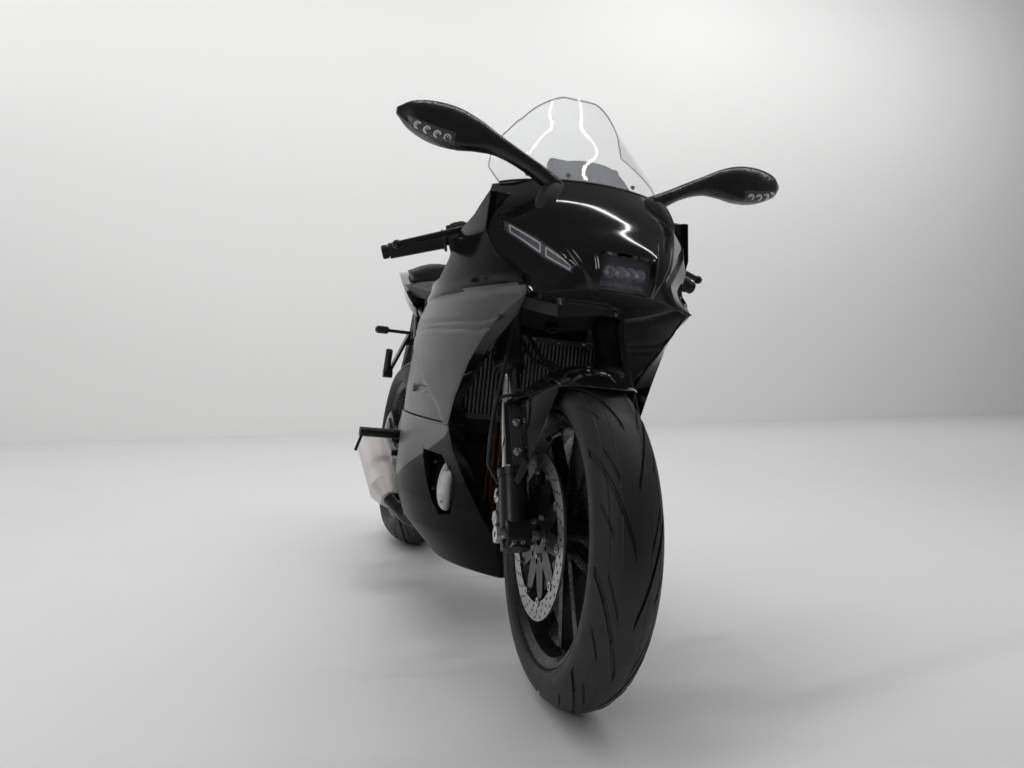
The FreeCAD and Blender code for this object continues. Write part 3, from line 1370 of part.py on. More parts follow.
def cowl_stay():
    """Beam from the head tube, a post under the instruments, arms to the lamps and cowl."""
    beam = pipe([(-244, 0, 794), (-170, 0, 826), (-120, 0, 848)], (60,), 13)
    post = Part.makeCylinder(10, 130, Vector(-122, 0, 850), Vector(0.12, 0, 1))
    parts = [beam, post]
    for side in (-1, 1):
        parts.append(pipe([(-120, side * 6, 850), (-60, side * 40, 830), (62, side * 30, 772)],
                          (30,), 6))
        parts.append(pipe([(-122, side * 6, 856), (-90, side * 40, 880), (-30, side * 150, 905)],
                          (30,), 7))
    return parts[0].fuse(parts[1:])


stay_shape = cowl_stay().cut([frame_shape, lamp_shape, dash, cowl_shape])
node("cowl_stay", solid(max(stay_shape.Solids, key=lambda piece: piece.Volume)), WORLD)

# ---------------------------------------------------------------- footrests

HANGER = plate_in + PLATE_THICK


def rider_rest():
    """Hanger plate, peg with its feeler, and a pedal ahead of it."""
    x, z = size("peg_x"), size("peg_z")
    hanger = plate_y(((-850, 470), (-812, 455), (-822, 380), (x + 20, z - 24), (x - 24, z - 20),
                      (x - 20, z + 26)), HANGER, 8)
    reach = size("peg_reach")
    peg = Part.makeCylinder(13, reach - HANGER - 6, Vector(x, HANGER + 6, z), LEFT)
    feeler = Part.makeCylinder(4, 50, Vector(x, reach - 8, z - 5), Vector(0, 0.3, -1))
    pedal = pipe([(x + 10, HANGER + 22, z - 16), (x + 60, HANGER + 24, z - 30),
                  (x + 130, HANGER + 24, z - 40)], (60,), 6)
    tip = Part.makeCylinder(8, 34, Vector(x + 128, HANGER + 14, z - 40), LEFT)
    pivot = Part.makeCylinder(9, 30, Vector(x + 10, HANGER, z - 16), LEFT)
    return hanger.fuse([peg, feeler, pedal, tip, pivot])


node("rider_footrests", both_sides(solid(rider_rest())), WORLD)


node("passenger_footrests", both_sides(solid(rest_shape)), WORLD)

# ---------------------------------------------------------------- side stand

hinge = WORLD.multVec(Vector(size("stand_pivot_x"), size("stand_pivot_y"),
                             size("stand_pivot_z")))
foot = Vector(hinge.x + size("stand_forward"), hinge.y + size("stand_spread"), 0)
leg = foot - hinge
folded = WORLD.Rotation.multVec(Vector(-1, 0.1, 0.12))
hinge_axis = leg.cross(folded).normalize()
LUG_HALF = 12
PIN_R = 5.7


def side_stand():
    """Leg from its hinge lug to a flat foot on the ground."""
    r = size("stand_radius")
    along = Vector(leg).normalize()
    knuckle = Part.makeCylinder(18, 2 * LUG_HALF, hinge - hinge_axis * LUG_HALF, hinge_axis)
    shaft = Part.makeCylinder(r, leg.Length - 14, hinge, along)
    pad = Part.makeBox(64, 42, 6, foot - Vector(26, 20, 0))
    ankle = Part.makeCone(16, r, 26, foot + Vector(0, 0, 5), along * -1)
    shape = knuckle.fuse([shaft, pad, ankle])
    shape = shape.cut(Part.makeCylinder(PIN_R + GAP, 100, hinge - hinge_axis * 50, hinge_axis))
    return shape.common(Part.makeBox(2000, 2000, 1000, Vector(-1500, -1000, 0)))


node("side_stand", solid(side_stand()))


def stand_bracket():
    """Pin through the stand's knuckle, a cheek inboard of it, and a rod to the pivot plate."""
    inboard = hinge_axis if hinge_axis.y < 0 else -hinge_axis
    face = LUG_HALF + GAP
    pin = Part.makeCylinder(PIN_R, 2 * face + 6, hinge - inboard * (face + 3), inboard)
    cheek = Part.makeCylinder(18, 6, hinge + inboard * face, inboard)
    head = Part.makeCylinder(11, 5, hinge - inboard * face, -inboard)
    arm = pipe([tuple(hinge + inboard * (face + 3)), tuple(hinge + inboard * 46),
                tuple(WORLD.multVec(Vector(-832, plate_in + PLATE_THICK / 2, 320)))], (10,), 9)
    placed_frame = frame_shape.copy()
    placed_frame.Placement = WORLD
    shape = pin.fuse([cheek, head, arm]).cut(placed_frame)
    return max(shape.Solids, key=lambda piece: piece.Volume)


node("stand_bracket", solid(stand_bracket()))

# ---------------------------------------------------------------- check and write

doc.recompute()
broken = [obj.Name for obj in doc.Objects if "Invalid" in obj.State or "Error" in obj.State]
if broken:
    raise RuntimeError("features that failed: " + ", ".join(broken))
os.makedirs("parts", exist_ok=True)
for part in NODES:
    if part.Shape.isNull() or not part.Shape.isValid() or not part.Shape.Solids:
        raise RuntimeError("sub-part that failed: " + part.Label)
    part.Shape.exportStep("parts/%s.step" % part.Label)
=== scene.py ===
"""Sport bike on its side stand: the looks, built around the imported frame.

Tables are in millimetres, in the chassis frame (X forward from the front axle, Y to the rider's
left, Z up, before the machine leans) or in the fork frame (Z up the steering axis from the front
axle).  Everything is turned into the row frame, in metres, when a mesh is made.
"""
import json
import math

import bmesh
import bpy
from mathutils import Matrix, Vector


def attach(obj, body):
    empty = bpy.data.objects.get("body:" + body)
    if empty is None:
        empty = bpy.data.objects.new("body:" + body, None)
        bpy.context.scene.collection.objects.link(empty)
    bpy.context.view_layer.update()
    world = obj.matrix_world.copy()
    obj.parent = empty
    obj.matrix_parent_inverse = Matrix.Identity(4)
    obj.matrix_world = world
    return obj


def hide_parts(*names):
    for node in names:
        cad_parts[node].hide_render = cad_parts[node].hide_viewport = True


bl_info = {
    "name": "Sport Bike Looks",
    "version": (1, 0, 0),
    "blender": (4, 5, 0),
    "location": "View3D > Sidebar > Sport Bike",
    "description": "Builds the visible pieces and finishes of a faired road motorcycle",
    "category": "Object",
}

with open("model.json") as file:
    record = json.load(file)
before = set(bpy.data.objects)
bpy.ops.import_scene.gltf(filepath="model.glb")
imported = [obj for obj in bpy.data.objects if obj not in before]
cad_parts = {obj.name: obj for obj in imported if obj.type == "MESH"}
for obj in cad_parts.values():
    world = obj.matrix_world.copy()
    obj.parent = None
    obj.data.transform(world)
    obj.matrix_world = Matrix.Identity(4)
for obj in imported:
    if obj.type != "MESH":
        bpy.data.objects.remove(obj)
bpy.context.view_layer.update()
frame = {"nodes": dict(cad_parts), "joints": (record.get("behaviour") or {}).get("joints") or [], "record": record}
NODES = frame["nodes"]
JOINTS = {joint["name"]: joint for joint in frame["joints"]}

# ---------------------------------------------------------------- frames of reference

AHEAD = Vector((1, 0, 0))
LEFT = Vector((0, 1, 0))
UP = Vector((0, 0, 1))
MILLI = Matrix.Scale(0.001, 4)
TURN = 2 * math.pi
SIDES = ((1, "left"), (-1, "right"))

WHEELBASE = 1395
REAR_AXLE_HEIGHT = 315
RAKE = math.radians(23.67)


def axes(x, y, z, origin):
    """Matrix whose columns are three unit axes and an origin."""
    return Matrix((
        (x.x, y.x, z.x, origin.x), (x.y, y.y, z.y, origin.y), (x.z, y.z, z.z, origin.z),
        (0, 0, 0, 1)))


def joint_axis(name):
    """Unit axis of a joint."""
    return Vector(JOINTS[name]["axis"]).normalized()


def joint_place(name):
    """Point of the row frame, in metres, at which a joint stands."""
    return Vector(JOINTS[name]["pos_m"])


def square_to(run):
    """The direction nearest to straight ahead that is square to a run."""
    return (AHEAD - run * AHEAD.dot(run)).normalized()


def chassis_frame():
    """Frame of the chassis: X ahead and Z up before the lean, from below the front axle."""
    across = joint_axis("rear_wheel_spin")
    ahead = square_to(across)
    up = ahead.cross(across)
    origin = (joint_place("rear_wheel_spin") + ahead * (WHEELBASE / 1000)
              - up * (REAR_AXLE_HEIGHT / 1000))
    return axes(ahead, across, up, origin)


def fork_frame():
    """Frame of the fork: Z up the steering axis and Y along the front axle."""
    across, up = joint_axis("front_wheel_spin"), joint_axis("steering")
    return axes(across.cross(up), across, up, joint_place("front_wheel_spin"))


CHASSIS = chassis_frame()
FORK = fork_frame()
HUBS = {"front_wheel": FORK @ Matrix.Rotation(RAKE, 4, "Y"),
        "rear_wheel": CHASSIS @ Matrix.Translation(
            Vector((-WHEELBASE, 0, REAR_AXLE_HEIGHT)) / 1000)}


# ---------------------------------------------------------------- node materials

# where a ramp over noise starts and ends
NOISE_LOW = 0.3
NOISE_HIGH = 0.7


def socket_label(name):
    """Title of a shader's socket, from its name in snake case."""
    return name.replace("_", " ").title().replace("Ior", "IOR")


class Finish:
    """A node material being put together."""

    def __init__(self, name):
        self.material = bpy.data.materials.new(name)
        self.material.use_nodes = True
        self.tree = self.material.node_tree
        self.shader = self.tree.nodes["Principled BSDF"]

    def set(self, **values):
        """Sets sockets of the shader."""
        for name, value in values.items():
            self.shader.inputs[socket_label(name)].default_value = value
        return self

    def add(self, kind, **values):
        """New node with its sockets set."""
        item = self.tree.nodes.new(kind)
        for name, value in values.items():
            item.inputs[socket_label(name)].default_value = value
        return item

    def link(self, source, target):
        """Joins two sockets."""
        self.tree.links.new(source, target)

    def coords(self):
        """Coordinates in the object's own space."""
        return self.add("ShaderNodeTexCoord").outputs["Object"]

    def noise(self, scale, detail=3, roughness=0.5, stretch=None):
        """Noise in the object's own space, stretched along its axes if asked."""
        item = self.add("ShaderNodeTexNoise", scale=scale, detail=detail, roughness=roughness)
        source = self.coords()
        if stretch:
            mapping = self.add("ShaderNodeMapping", scale=stretch)
            self.link(source, mapping.inputs["Vector"])
            source = mapping.outputs["Vector"]
        self.link(source, item.inputs["Vector"])
        return item.outputs["Fac"]

    def ramp(self, source, stops):
        """Two stops, as (place, colour); the colour has three parts or is one grey value."""
        item = self.add("ShaderNodeValToRGB")
        for element, (place, colour) in zip(item.color_ramp.elements, stops):
            element.position = place
            if not hasattr(colour, "__len__"):
                colour = (colour, colour, colour)
            element.color = (*colour, 1)
        self.link(source, item.inputs["Fac"])
        return item.outputs["Color"]

    def colour(self, source, dark, light):
        """Base colour that follows a grey value."""
        self.link(self.ramp(source, ((NOISE_LOW, dark), (NOISE_HIGH, light))),
                  self.shader.inputs["Base Color"])
        return self

    def roughness(self, source, smooth, rough):
        """Roughness that follows a grey value."""
        self.link(self.ramp(source, ((NOISE_LOW, smooth), (NOISE_HIGH, rough))),
                  self.shader.inputs["Roughness"])
        return self

    def bump(self, source, strength, distance):
        """Bump from a grey value, with its distance in metres."""
        item = self.add("ShaderNodeBump", strength=strength, distance=distance)
        self.link(source, item.inputs["Height"])
        self.link(item.outputs["Normal"], self.shader.inputs["Normal"])
        return self


def tint(colour, share):
    """A colour made lighter or darker."""
    return tuple(min(1, channel * share) for channel in colour)


def lacquer(name, colour, roughness, peel, shine=0.3):
    """Painted plastic under clear coat, with faint orange peel."""
    finish = Finish(name).set(metallic=0, roughness=roughness, specular_ior_level=shine,
                              coat_weight=0.25 * shine, coat_roughness=0.02)
    finish.colour(finish.noise(3), tint(colour, 0.85), tint(colour, 1.15))
    return finish.bump(finish.noise(900, 2), peel, 0.0002).material


def metallic_paint(name, colour, roughness):
    """Satin metallic paint with fine flake."""
    finish = Finish(name).set(metallic=0.5, coat_weight=0.12, coat_roughness=0.25)
    finish.colour(finish.noise(4000, 1), tint(colour, 0.8), tint(colour, 1.25))
    finish.roughness(finish.noise(12), roughness - 0.03, roughness + 0.03)
    return finish.bump(finish.noise(3000, 1), 0.05, 0.0001).material


def cast_metal(name, colour, metallic, roughness, grain=1400, depth=0.0003, patch=0.2):
    """Painted or bare casting with a sandy skin; the patches make it uneven."""
    finish = Finish(name).set(metallic=metallic)
    finish.colour(finish.noise(25), tint(colour, 1 - patch), tint(colour, 1 + patch))
    finish.roughness(finish.noise(90), roughness - 0.3 * patch, roughness + 0.3 * patch)
    return finish.bump(finish.noise(grain, 2), 0.35, depth).material


def brushed_metal(name, colour, roughness, stretch, share=1.0):
    """Bare metal with fine lines; the share makes them fainter."""
    finish = Finish(name).set(metallic=1)
    lines = finish.noise(60, 4, 0.6, stretch)
    finish.colour(lines, tint(colour, 1 - 0.15 * share), tint(colour, 1 + 0.1 * share))
    finish.roughness(lines, roughness - 0.07 * share, roughness + 0.08 * share)
    return finish.bump(lines, 0.15 * share, 0.0002).material


def heat_tinted(name, hot, cool):
    """Steel pipe, straw brown by the engine's ports and grey further back."""
    finish = Finish(name).set(metallic=1)
    split = finish.add("ShaderNodeSeparateXYZ")
    finish.link(finish.coords(), split.inputs["Vector"])
    along = finish.add("ShaderNodeMapRange", from_min=0.1, from_max=0.35)
    finish.link(split.outputs["X"], along.inputs["Value"])
    finish.link(finish.ramp(along.outputs["Result"], ((0.2, cool), (0.8, hot))),
                finish.shader.inputs["Base Color"])
    finish.roughness(finish.noise(30), 0.24, 0.36)
    return finish.bump(finish.noise(400), 0.1, 0.0002).material


def moulded_plastic(name, colour, roughness, grain):
    """Grained plastic, rubber or vinyl."""
    finish = Finish(name).set(metallic=0)
    finish.colour(finish.noise(18), tint(colour, 0.85), tint(colour, 1.2))
    finish.roughness(finish.noise(60), roughness - 0.05, roughness + 0.05)
    return finish.bump(finish.noise(grain, 2), 0.3, 0.0003).material


def glass(name, colour, transmission, roughness, alpha):
    """Clear or coloured acrylic."""
    finish = Finish(name).set(metallic=0, transmission_weight=transmission, alpha=alpha,
                              ior=1.49)
    finish.colour(finish.noise(6), tint(colour, 0.97), colour)
    return finish.roughness(finish.noise(40), roughness, roughness + 0.01).material


FINISHES = {}


def make_finishes(look):
    """Makes every material: its name, its maker and the maker's own values."""
    black, grey = tuple(look.lacquer_colour), tuple(look.panel_colour)
    rubber, muffler = tuple(look.rubber_colour), tuple(look.muffler_colour)
    for name, make, *values in (
            ("gloss_black", lacquer, black, 0.1, 0.04),
            ("belly_black", lacquer, black, 0.3, 0.03, 0.06),
            ("shoulder_black", lacquer, black, 0.12, 0.03, 0.05),
            ("lamp_white", lacquer, (0.6, 0.61, 0.63), 0.15, 0.02),
            ("fairing_black", metallic_paint, grey, 0.32),
            ("tyre_rubber", moulded_plastic, rubber, 0.55, 700),
            ("grip_rubber", moulded_plastic, (0.008, 0.008, 0.008), 0.6, 1200),
            ("matte_black", moulded_plastic, (0.006, 0.006, 0.0065), 0.55, 1600),
            ("mirror_black", moulded_plastic, (0.006, 0.006, 0.007), 0.28, 2200),
            ("seat_vinyl", moulded_plastic, (0.008, 0.008, 0.009), 0.5, 500),
            ("red_switch", moulded_plastic, (0.35, 0.015, 0.01), 0.35, 900),
            ("black_alloy", cast_metal, (0.008, 0.008, 0.009), 0.3, 0.33),
            ("bracket_grey", cast_metal, (0.05, 0.05, 0.052), 0.4, 0.4),
            ("cap_silver", cast_metal, (0.6, 0.6, 0.6), 0.9, 0.3),
            ("frame_paint", cast_metal, (0.007, 0.007, 0.008), 0.1, 0.34),
            ("engine_alloy", cast_metal, (0.018, 0.018, 0.019), 0.5, 0.45),
            ("cover_alloy", cast_metal, (0.5, 0.5, 0.51), 0.85, 0.36),
            ("radiator_alloy", cast_metal, (0.12, 0.12, 0.125), 0.4, 0.42),
            ("fin_alloy", cast_metal, (0.3, 0.3, 0.31), 0.3, 0.5),
            ("rim_black", cast_metal, (0.035, 0.035, 0.037), 0.8, 0.27, 2500, 0.0001),
            ("muffler_steel", cast_metal, muffler, 0.45, 0.34, 2600, 0.0001, 0.03),
            ("mirror_glass", brushed_metal, (0.75, 0.76, 0.78), 0.09, (1, 1, 1)),
            ("disc_steel", brushed_metal, (0.34, 0.34, 0.35), 0.33, (4, 4, 4), 0.25),
            ("sprocket_steel", brushed_metal, (0.22, 0.215, 0.205), 0.4, (1, 20, 1)),
            ("axle_steel", brushed_metal, (0.45, 0.45, 0.45), 0.28, (1, 1, 8)),
            ("chrome_tube", brushed_metal, (0.62, 0.62, 0.63), 0.14, (1, 1, 12)),
            ("header_steel", heat_tinted, (0.06, 0.027, 0.011), (0.05, 0.048, 0.045)),
            ("red_lens", glass, (0.35, 0.01, 0.01), 0.3, 0.05, 1),
            ("amber_lens", glass, (0.6, 0.2, 0.02), 0.3, 0.06, 1),
            ("lamp_lens", glass, (0.6, 0.62, 0.65), 0.8, 0.03, 1),
            ("clear_lens", glass, (0.6, 0.62, 0.65), 0, 0.02, 0.12),
            ("clear_screen", glass, (0.85, 0.88, 0.9), 0, 0.02, 0.16),
            # light grey and part opaque: the painted highlight along the screen's rim
            ("rim_clear", glass, (0.4, 0.42, 0.44), 0, 0.1, 0.8)):
        FINISHES[name] = make(name, *values)


# nodes whose finish isn't that of their slot
NODE_FINISHES = {"front_rim": "rim_black", "rear_rim": "rim_black",
                 "triple_clamps": "matte_black"}


def dress_nodes():
    """Every node of the frame gets the finish of its slot."""
    slots = {part["node"]: part["material_slot"] for part in frame["record"]["subparts"]}
    for name, obj in NODES.items():
        obj.data.materials.clear()
        obj.data.materials.append(FINISHES[NODE_FINISHES.get(name, slots[name])])


# ---------------------------------------------------------------- meshes

# millimetres within which points are one, and within which a cut takes a point as its own
MERGE = 0.02
CUT_REACH = 0.01
# socket head on a washer, for a radius of 1: radius, height
BOLT = ((0, 0), (1.35, 0), (1.35, 0.2), (1, 0.25), (1, 1), (0.85, 1.15), (0.5, 1.15), (0.5, 0.6),
        (0, 0.6))


def blend(low, high, share):
    """Value at a share of the way from low to high."""
    return low + (high - low) * share


def ease(value, low, high):
    """0 below low, 1 above high, smooth between."""
    share = min(1, max(0, (value - low) / (high - low)))
    return share * share * (3 - 2 * share)


def table_at(rows, key, soft=True):
    """Columns of a table at a value of its first column: straight or smooth between rows."""
    rows = sorted(rows)
    key = min(max(key, rows[0][0]), rows[-1][0])
    i = max(k for k in range(len(rows) - 1) if rows[k][0] <= key)
    a, b = rows[i], rows[i + 1]
    span = b[0] - a[0]
    t = (key - a[0]) / span
    if not soft:
        return [blend(p, q, t) for p, q in zip(a, b)][1:]
    before, after = rows[max(i - 1, 0)], rows[min(i + 2, len(rows) - 1)]
    result = []
    for o, p, q, r in zip(before, a, b, after):
        m0 = (q - o) / (b[0] - before[0]) * span
        m1 = (r - p) / (after[0] - a[0]) * span
        result.append(p * (2 * t ** 3 - 3 * t * t + 1) + m0 * (t ** 3 - 2 * t * t + t)
                      + q * (3 * t * t - 2 * t ** 3) + m1 * (t ** 3 - t * t))
    return result[1:]


def line_at(rows, key):
    """Value of a bent line at a place: rows are (place, value)."""
    return table_at(rows, key, soft=False)[0]


def curve_at(points, share):
    """Point on a smooth curve through points, at a share of their count."""
    rows = [(float(i), *point) for i, point in enumerate(points)]
    return Vector(table_at(rows, share * (len(points) - 1)))


def circle_through(a, b, c):
    """Centre and radius of the circle through three points of a plane."""
    ax, ay, bx, by, cx, cy = *a, *b, *c
    d = 2 * (ax * (by - cy) + bx * (cy - ay) + cx * (ay - by))
    ux = ((ax * ax + ay * ay) * (by - cy) + (bx * bx + by * by) * (cy - ay)
          + (cx * cx + cy * cy) * (ay - by)) / d
    uy = ((ax * ax + ay * ay) * (cx - bx) + (bx * bx + by * by) * (ax - cx)
          + (cx * cx + cy * cy) * (bx - ax)) / d
    return Vector((ux, uy)), math.hypot(ax - ux, ay - uy)


def leg_of(radius, other):
    """Second leg of a right triangle on a radius; nothing where the first is too long."""
    return math.sqrt(max(radius ** 2 - other ** 2, 0))


def round_at(radius, angle, centre=(0, 0)):
    """Point of a circle in a plane."""
    return centre[0] + radius * math.cos(angle), centre[1] + radius * math.sin(angle)


def on_circle(radius, angle, y=0.0, centre=(0, 0)):
    """Point of a circle that stands across Y, its angle measured from ahead."""
    x, z = round_at(radius, angle, centre)
    return Vector((x, y, z))


def ring_points(radius, count, centre=(0, 0)):
    """Even points of a circle in a plane."""
    return [round_at(radius, TURN * i / count, centre) for i in range(count)]


def inside(point, outline):
    """Whether a point of a plane lies in a closed outline."""
    x, y = point
    found = False
    for (x1, y1), (x2, y2) in zip(outline, outline[1:] + outline[:1]):
        if (y1 > y) != (y2 > y) and x < x1 + (x2 - x1) * (y - y1) / (y2 - y1):
            found = not found
    return found


def near_line(point, line):
    """Distance from a point to a bent line in the same plane."""
    point, gaps = Vector(point), []
    for start, end in zip(line, line[1:]):
        start, run = Vector(start), Vector(end) - Vector(start)
        share = min(1, max(0, (point - start).dot(run) / run.length_squared))
        gaps.append((point - start - run * share).length)
    return min(gaps)


class Build:
    """A mesh being put together in millimetres, in one frame, with its finishes."""

    def __init__(self, name, matrix, body, *finishes):
        self.name = name
        self.matrix = matrix
        self.body = body
        self.finishes = finishes
        self.mesh = bmesh.new()
        self.index = 0

    def use(self, finish):
        """Sets the finish of the faces that follow."""
        self.index = self.finishes.index(finish)
        return self

    def paint(self, finish, chosen):
        """Gives a finish to every face whose middle is chosen."""
        for face in self.mesh.faces:
            if chosen(face.calc_center_median()):
                face.material_index = self.finishes.index(finish)
        return self

    def face(self, verts):
        """Face on its distinct corners, if there are three or more of them."""
        distinct = list(dict.fromkeys(verts))
        if len(distinct) > 2:
            self.mesh.faces.new(distinct).material_index = self.index

    def patch(self, points):
        """One face on new points."""
        self.face([self.mesh.verts.new(point) for point in points])
        return self

    def skin(self, rows, closed=False, looped=False, capped=False):
        """Quads between rows of points; closed rows join end to end, looped ones end on the
        first row, capped ones get a face at both ends."""
        points = [[self.mesh.verts.new(point) for point in row] for row in rows]
        count = len(points[0])
        pairs = list(zip(points, points[1:])) + ([(points[-1], points[0])] if looped else [])
        for low, high in pairs:
            for i in range(count if closed else count - 1):
                j = (i + 1) % count
                self.face((low[i], low[j], high[j], high[i]))
        if capped:
            self.face(points[0])
            self.face(points[-1])
        return self

    def lathe(self, profile, centre=(0, 0, 0), axis=LEFT, segments=32, looped=False):
        """Turned piece from rows of radius and distance along the axis."""
        centre, axis = Vector(centre), Vector(axis).normalized()
        side = axis.orthogonal().normalized()
        other = axis.cross(side)
        rows = []
        for i in range(segments):
            a = TURN * i / segments
            out = side * math.cos(a) + other * math.sin(a)
            rows.append([centre + out * r + axis * t for r, t in profile])
        return self.skin(rows, closed=looped, looped=True)

    def tube(self, path, radius, sides=12, steps=0):
        """Round sweep along a path; steps above zero make the path a smooth curve."""
        path = [Vector(p) for p in path]
        if steps:
            path = [curve_at(path, i / steps) for i in range(steps + 1)]
        side = (path[1] - path[0]).orthogonal().normalized()
        rows = []
        for i, point in enumerate(path):
            run = (path[min(i + 1, len(path) - 1)] - path[max(i - 1, 0)]).normalized()
            side = (side - run * side.dot(run)).normalized()
            other = run.cross(side)
            size = radius(i / (len(path) - 1)) if callable(radius) else radius
            rows.append([point + (side * math.cos(a) + other * math.sin(a)) * size
                         for a in [TURN * k / sides for k in range(sides)]])
        return self.skin(rows, closed=True, capped=True)

    def prism(self, outline, run):
        """Flat outline carried along a vector."""
        rows = [[Vector(p) for p in outline], [Vector(p) + Vector(run) for p in outline]]
        return self.skin(rows, closed=True, capped=True)

    def block(self, centre, size):
        """Square-edged block, rounded later by the bevel."""
        x, y, z = centre
        a, b, c = [s / 2 for s in size]
        return self.prism([(x - a, y - b, z - c), (x + a, y - b, z - c), (x + a, y + b, z - c),
                           (x - a, y + b, z - c)], (0, 0, 2 * c))

    def bolt(self, at, axis, radius=5):
        """Socket head on a washer, standing out along the axis."""
        return self.lathe([(radius * r, radius * t) for r, t in BOLT], at, axis, 12)

    def score(self, line, across):
        """Adds edges to the mesh where the planes of a bent line, carried along X or Y, run."""
        for pair in zip(line, line[1:]):
            if across == "X":
                start, end = [Vector((0, y, z)) for y, z in pair]
                normal = (end - start).cross(AHEAD)
            else:
                start, end = [Vector((x, 0, z)) for x, z in pair]
                normal = (end - start).cross(LEFT)
            geometry = self.mesh.verts[:] + self.mesh.edges[:] + self.mesh.faces[:]
            bmesh.ops.bisect_plane(self.mesh, geom=geometry, plane_co=start, dist=CUT_REACH,
                                   plane_no=normal)
        return self

    def window(self, outline, across):
        """Cuts a closed outline of plane points through the mesh along X or Y."""
        self.score(outline + outline[:1], across)
        gone = []
        for face in self.mesh.faces:
            centre = face.calc_center_median()
            plane = (centre.y, centre.z) if across == "X" else (centre.x, centre.z)
            if inside(plane, outline):
                gone.append(face)
        bmesh.ops.delete(self.mesh, geom=gone, context="FACES")
        return self

    def relief(self, depth, along=None):
        """Moves every point by depth(point) millimetres, along a vector or its own normal."""
        self.mesh.normal_update()
        moves = [(vert, (along or vert.normal) * depth(vert.co)) for vert in self.mesh.verts]
        for vert, move in moves:
            vert.co += move
        return self

    def settle(self, outward):
        """Joins points that meet, and turns the faces outwards."""
        bmesh.ops.remove_doubles(self.mesh, verts=self.mesh.verts, dist=MERGE)
        bmesh.ops.dissolve_degenerate(self.mesh, edges=self.mesh.edges, dist=CUT_REACH)
        bmesh.ops.recalc_face_normals(self.mesh, faces=self.mesh.faces)
        if outward and sum(face.normal.dot(outward) * face.calc_area()
                           for face in self.mesh.faces) < 0:
            bmesh.ops.reverse_faces(self.mesh, faces=self.mesh.faces)

    def done(self, angle=35, bevel=0, thick=0, levels=0, replaces=(), outward=None):
        """Writes the mesh in metres in the row frame, and joins it to its body.  A wall with
        an outward direction gets the last finish on its inner face."""
        self.settle(outward)
        self.mesh.transform(self.matrix @ MILLI)
        data = bpy.data.meshes.new(self.name)
        self.mesh.to_mesh(data)
        self.mesh.free()
        for finish in self.finishes:
            data.materials.append(FINISHES[finish])
        data.polygons.foreach_set("use_smooth", [True] * len(data.polygons))
        data.set_sharp_from_angle(angle=math.radians(angle))
        obj = bpy.data.objects.new(self.name, data)
        bpy.context.scene.collection.objects.link(obj)
        if levels:
            modifier = obj.modifiers.new("rounded", "SUBSURF")
            modifier.levels = modifier.render_levels = levels
        if thick:
            modifier = obj.modifiers.new("wall", "SOLIDIFY")
            modifier.thickness = thick / 1000
            modifier.offset = 0
            if outward:
                modifier.material_offset = len(self.finishes) - 1
        if bevel:
            modifier = obj.modifiers.new("edges", "BEVEL")
            modifier.width = bevel / 1000
            modifier.segments = 2
            modifier.limit_method = "ANGLE"
            modifier.angle_limit = math.radians(40)
        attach(obj, self.body)
        if replaces:
            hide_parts(*replaces)
        return obj


def plate_mesh(build, outline, holes, thick, matrix):
    """Adds a flat plate with holes: outline and holes are rings of plane points."""
    data = bpy.data.curves.new("outline", "CURVE")
    data.dimensions = "2D"
    data.fill_mode = "BOTH"
    data.extrude = thick / 2
    for ring in [outline] + holes:
        line = data.splines.new("POLY")
        line.points.add(len(ring) - 1)
        for point, (x, y) in zip(line.points, ring):
            point.co = (x, y, 0, 1)
        line.use_cyclic_u = True
    holder = bpy.data.objects.new("outline", data)
    mesh = bpy.data.meshes.new_from_object(holder)
    mesh.transform(matrix)
    before = set(build.mesh.faces)
    build.mesh.from_mesh(mesh)
    for face in build.mesh.faces:
        if face not in before:
            face.material_index = build.index
    bpy.data.objects.remove(holder)
    bpy.data.curves.remove(data)
    bpy.data.meshes.remove(mesh)


# ---------------------------------------------------------------- wheels

TYRES = (  # name, node, body, radius, half width, drop, rim half, groove pitches
    ("front_tyre_carcass", "front_tyre", "front_wheel", 300, 60, 38, 48, 9),
    ("rear_tyre_carcass", "rear_tyre", "rear_wheel", 315, 90, 53, 74, 8))
# shares of the half width at which the mould leaves a raised line, its half width and height
MOULD_LINES = (0.33, 0.62)
MOULD_HALF = 0.022
MOULD_RISE = 0.9
# grooves of a tread: phase from and to, share of the half width from and to, depth
GROOVES = ((0.03, 0.11, 0.05, 0.96, 4.5), (0.28, 0.32, 0.30, 0.62, 3.0),
           (0.66, 0.70, 0.52, 0.84, 3.0))
# phases of half a pitch that get a row of points, and columns from crown to shoulder
TREAD_MARKS = (0, 0.02, 0.03, 0.07, 0.11, 0.12, 0.15, 0.16, 0.20, 0.21, 0.24, 0.27, 0.28, 0.32,
               0.33, 0.37, 0.42, 0.46)
TREAD_COLUMNS = 22
# pitches that a groove runs back on its way to the shoulder
GROOVE_SWEEP = 0.95


def groove_depth(phase, share):
    """Depth of the tread's cut at a phase of the pitch and a share of the half width."""
    for start, end, low, high, depth in GROOVES:
        if start - 1e-6 <= phase <= end + 1e-6:
            return depth * ease(share, low, low + 0.04) * (1 - ease(share, high - 0.06, high))
    return 0


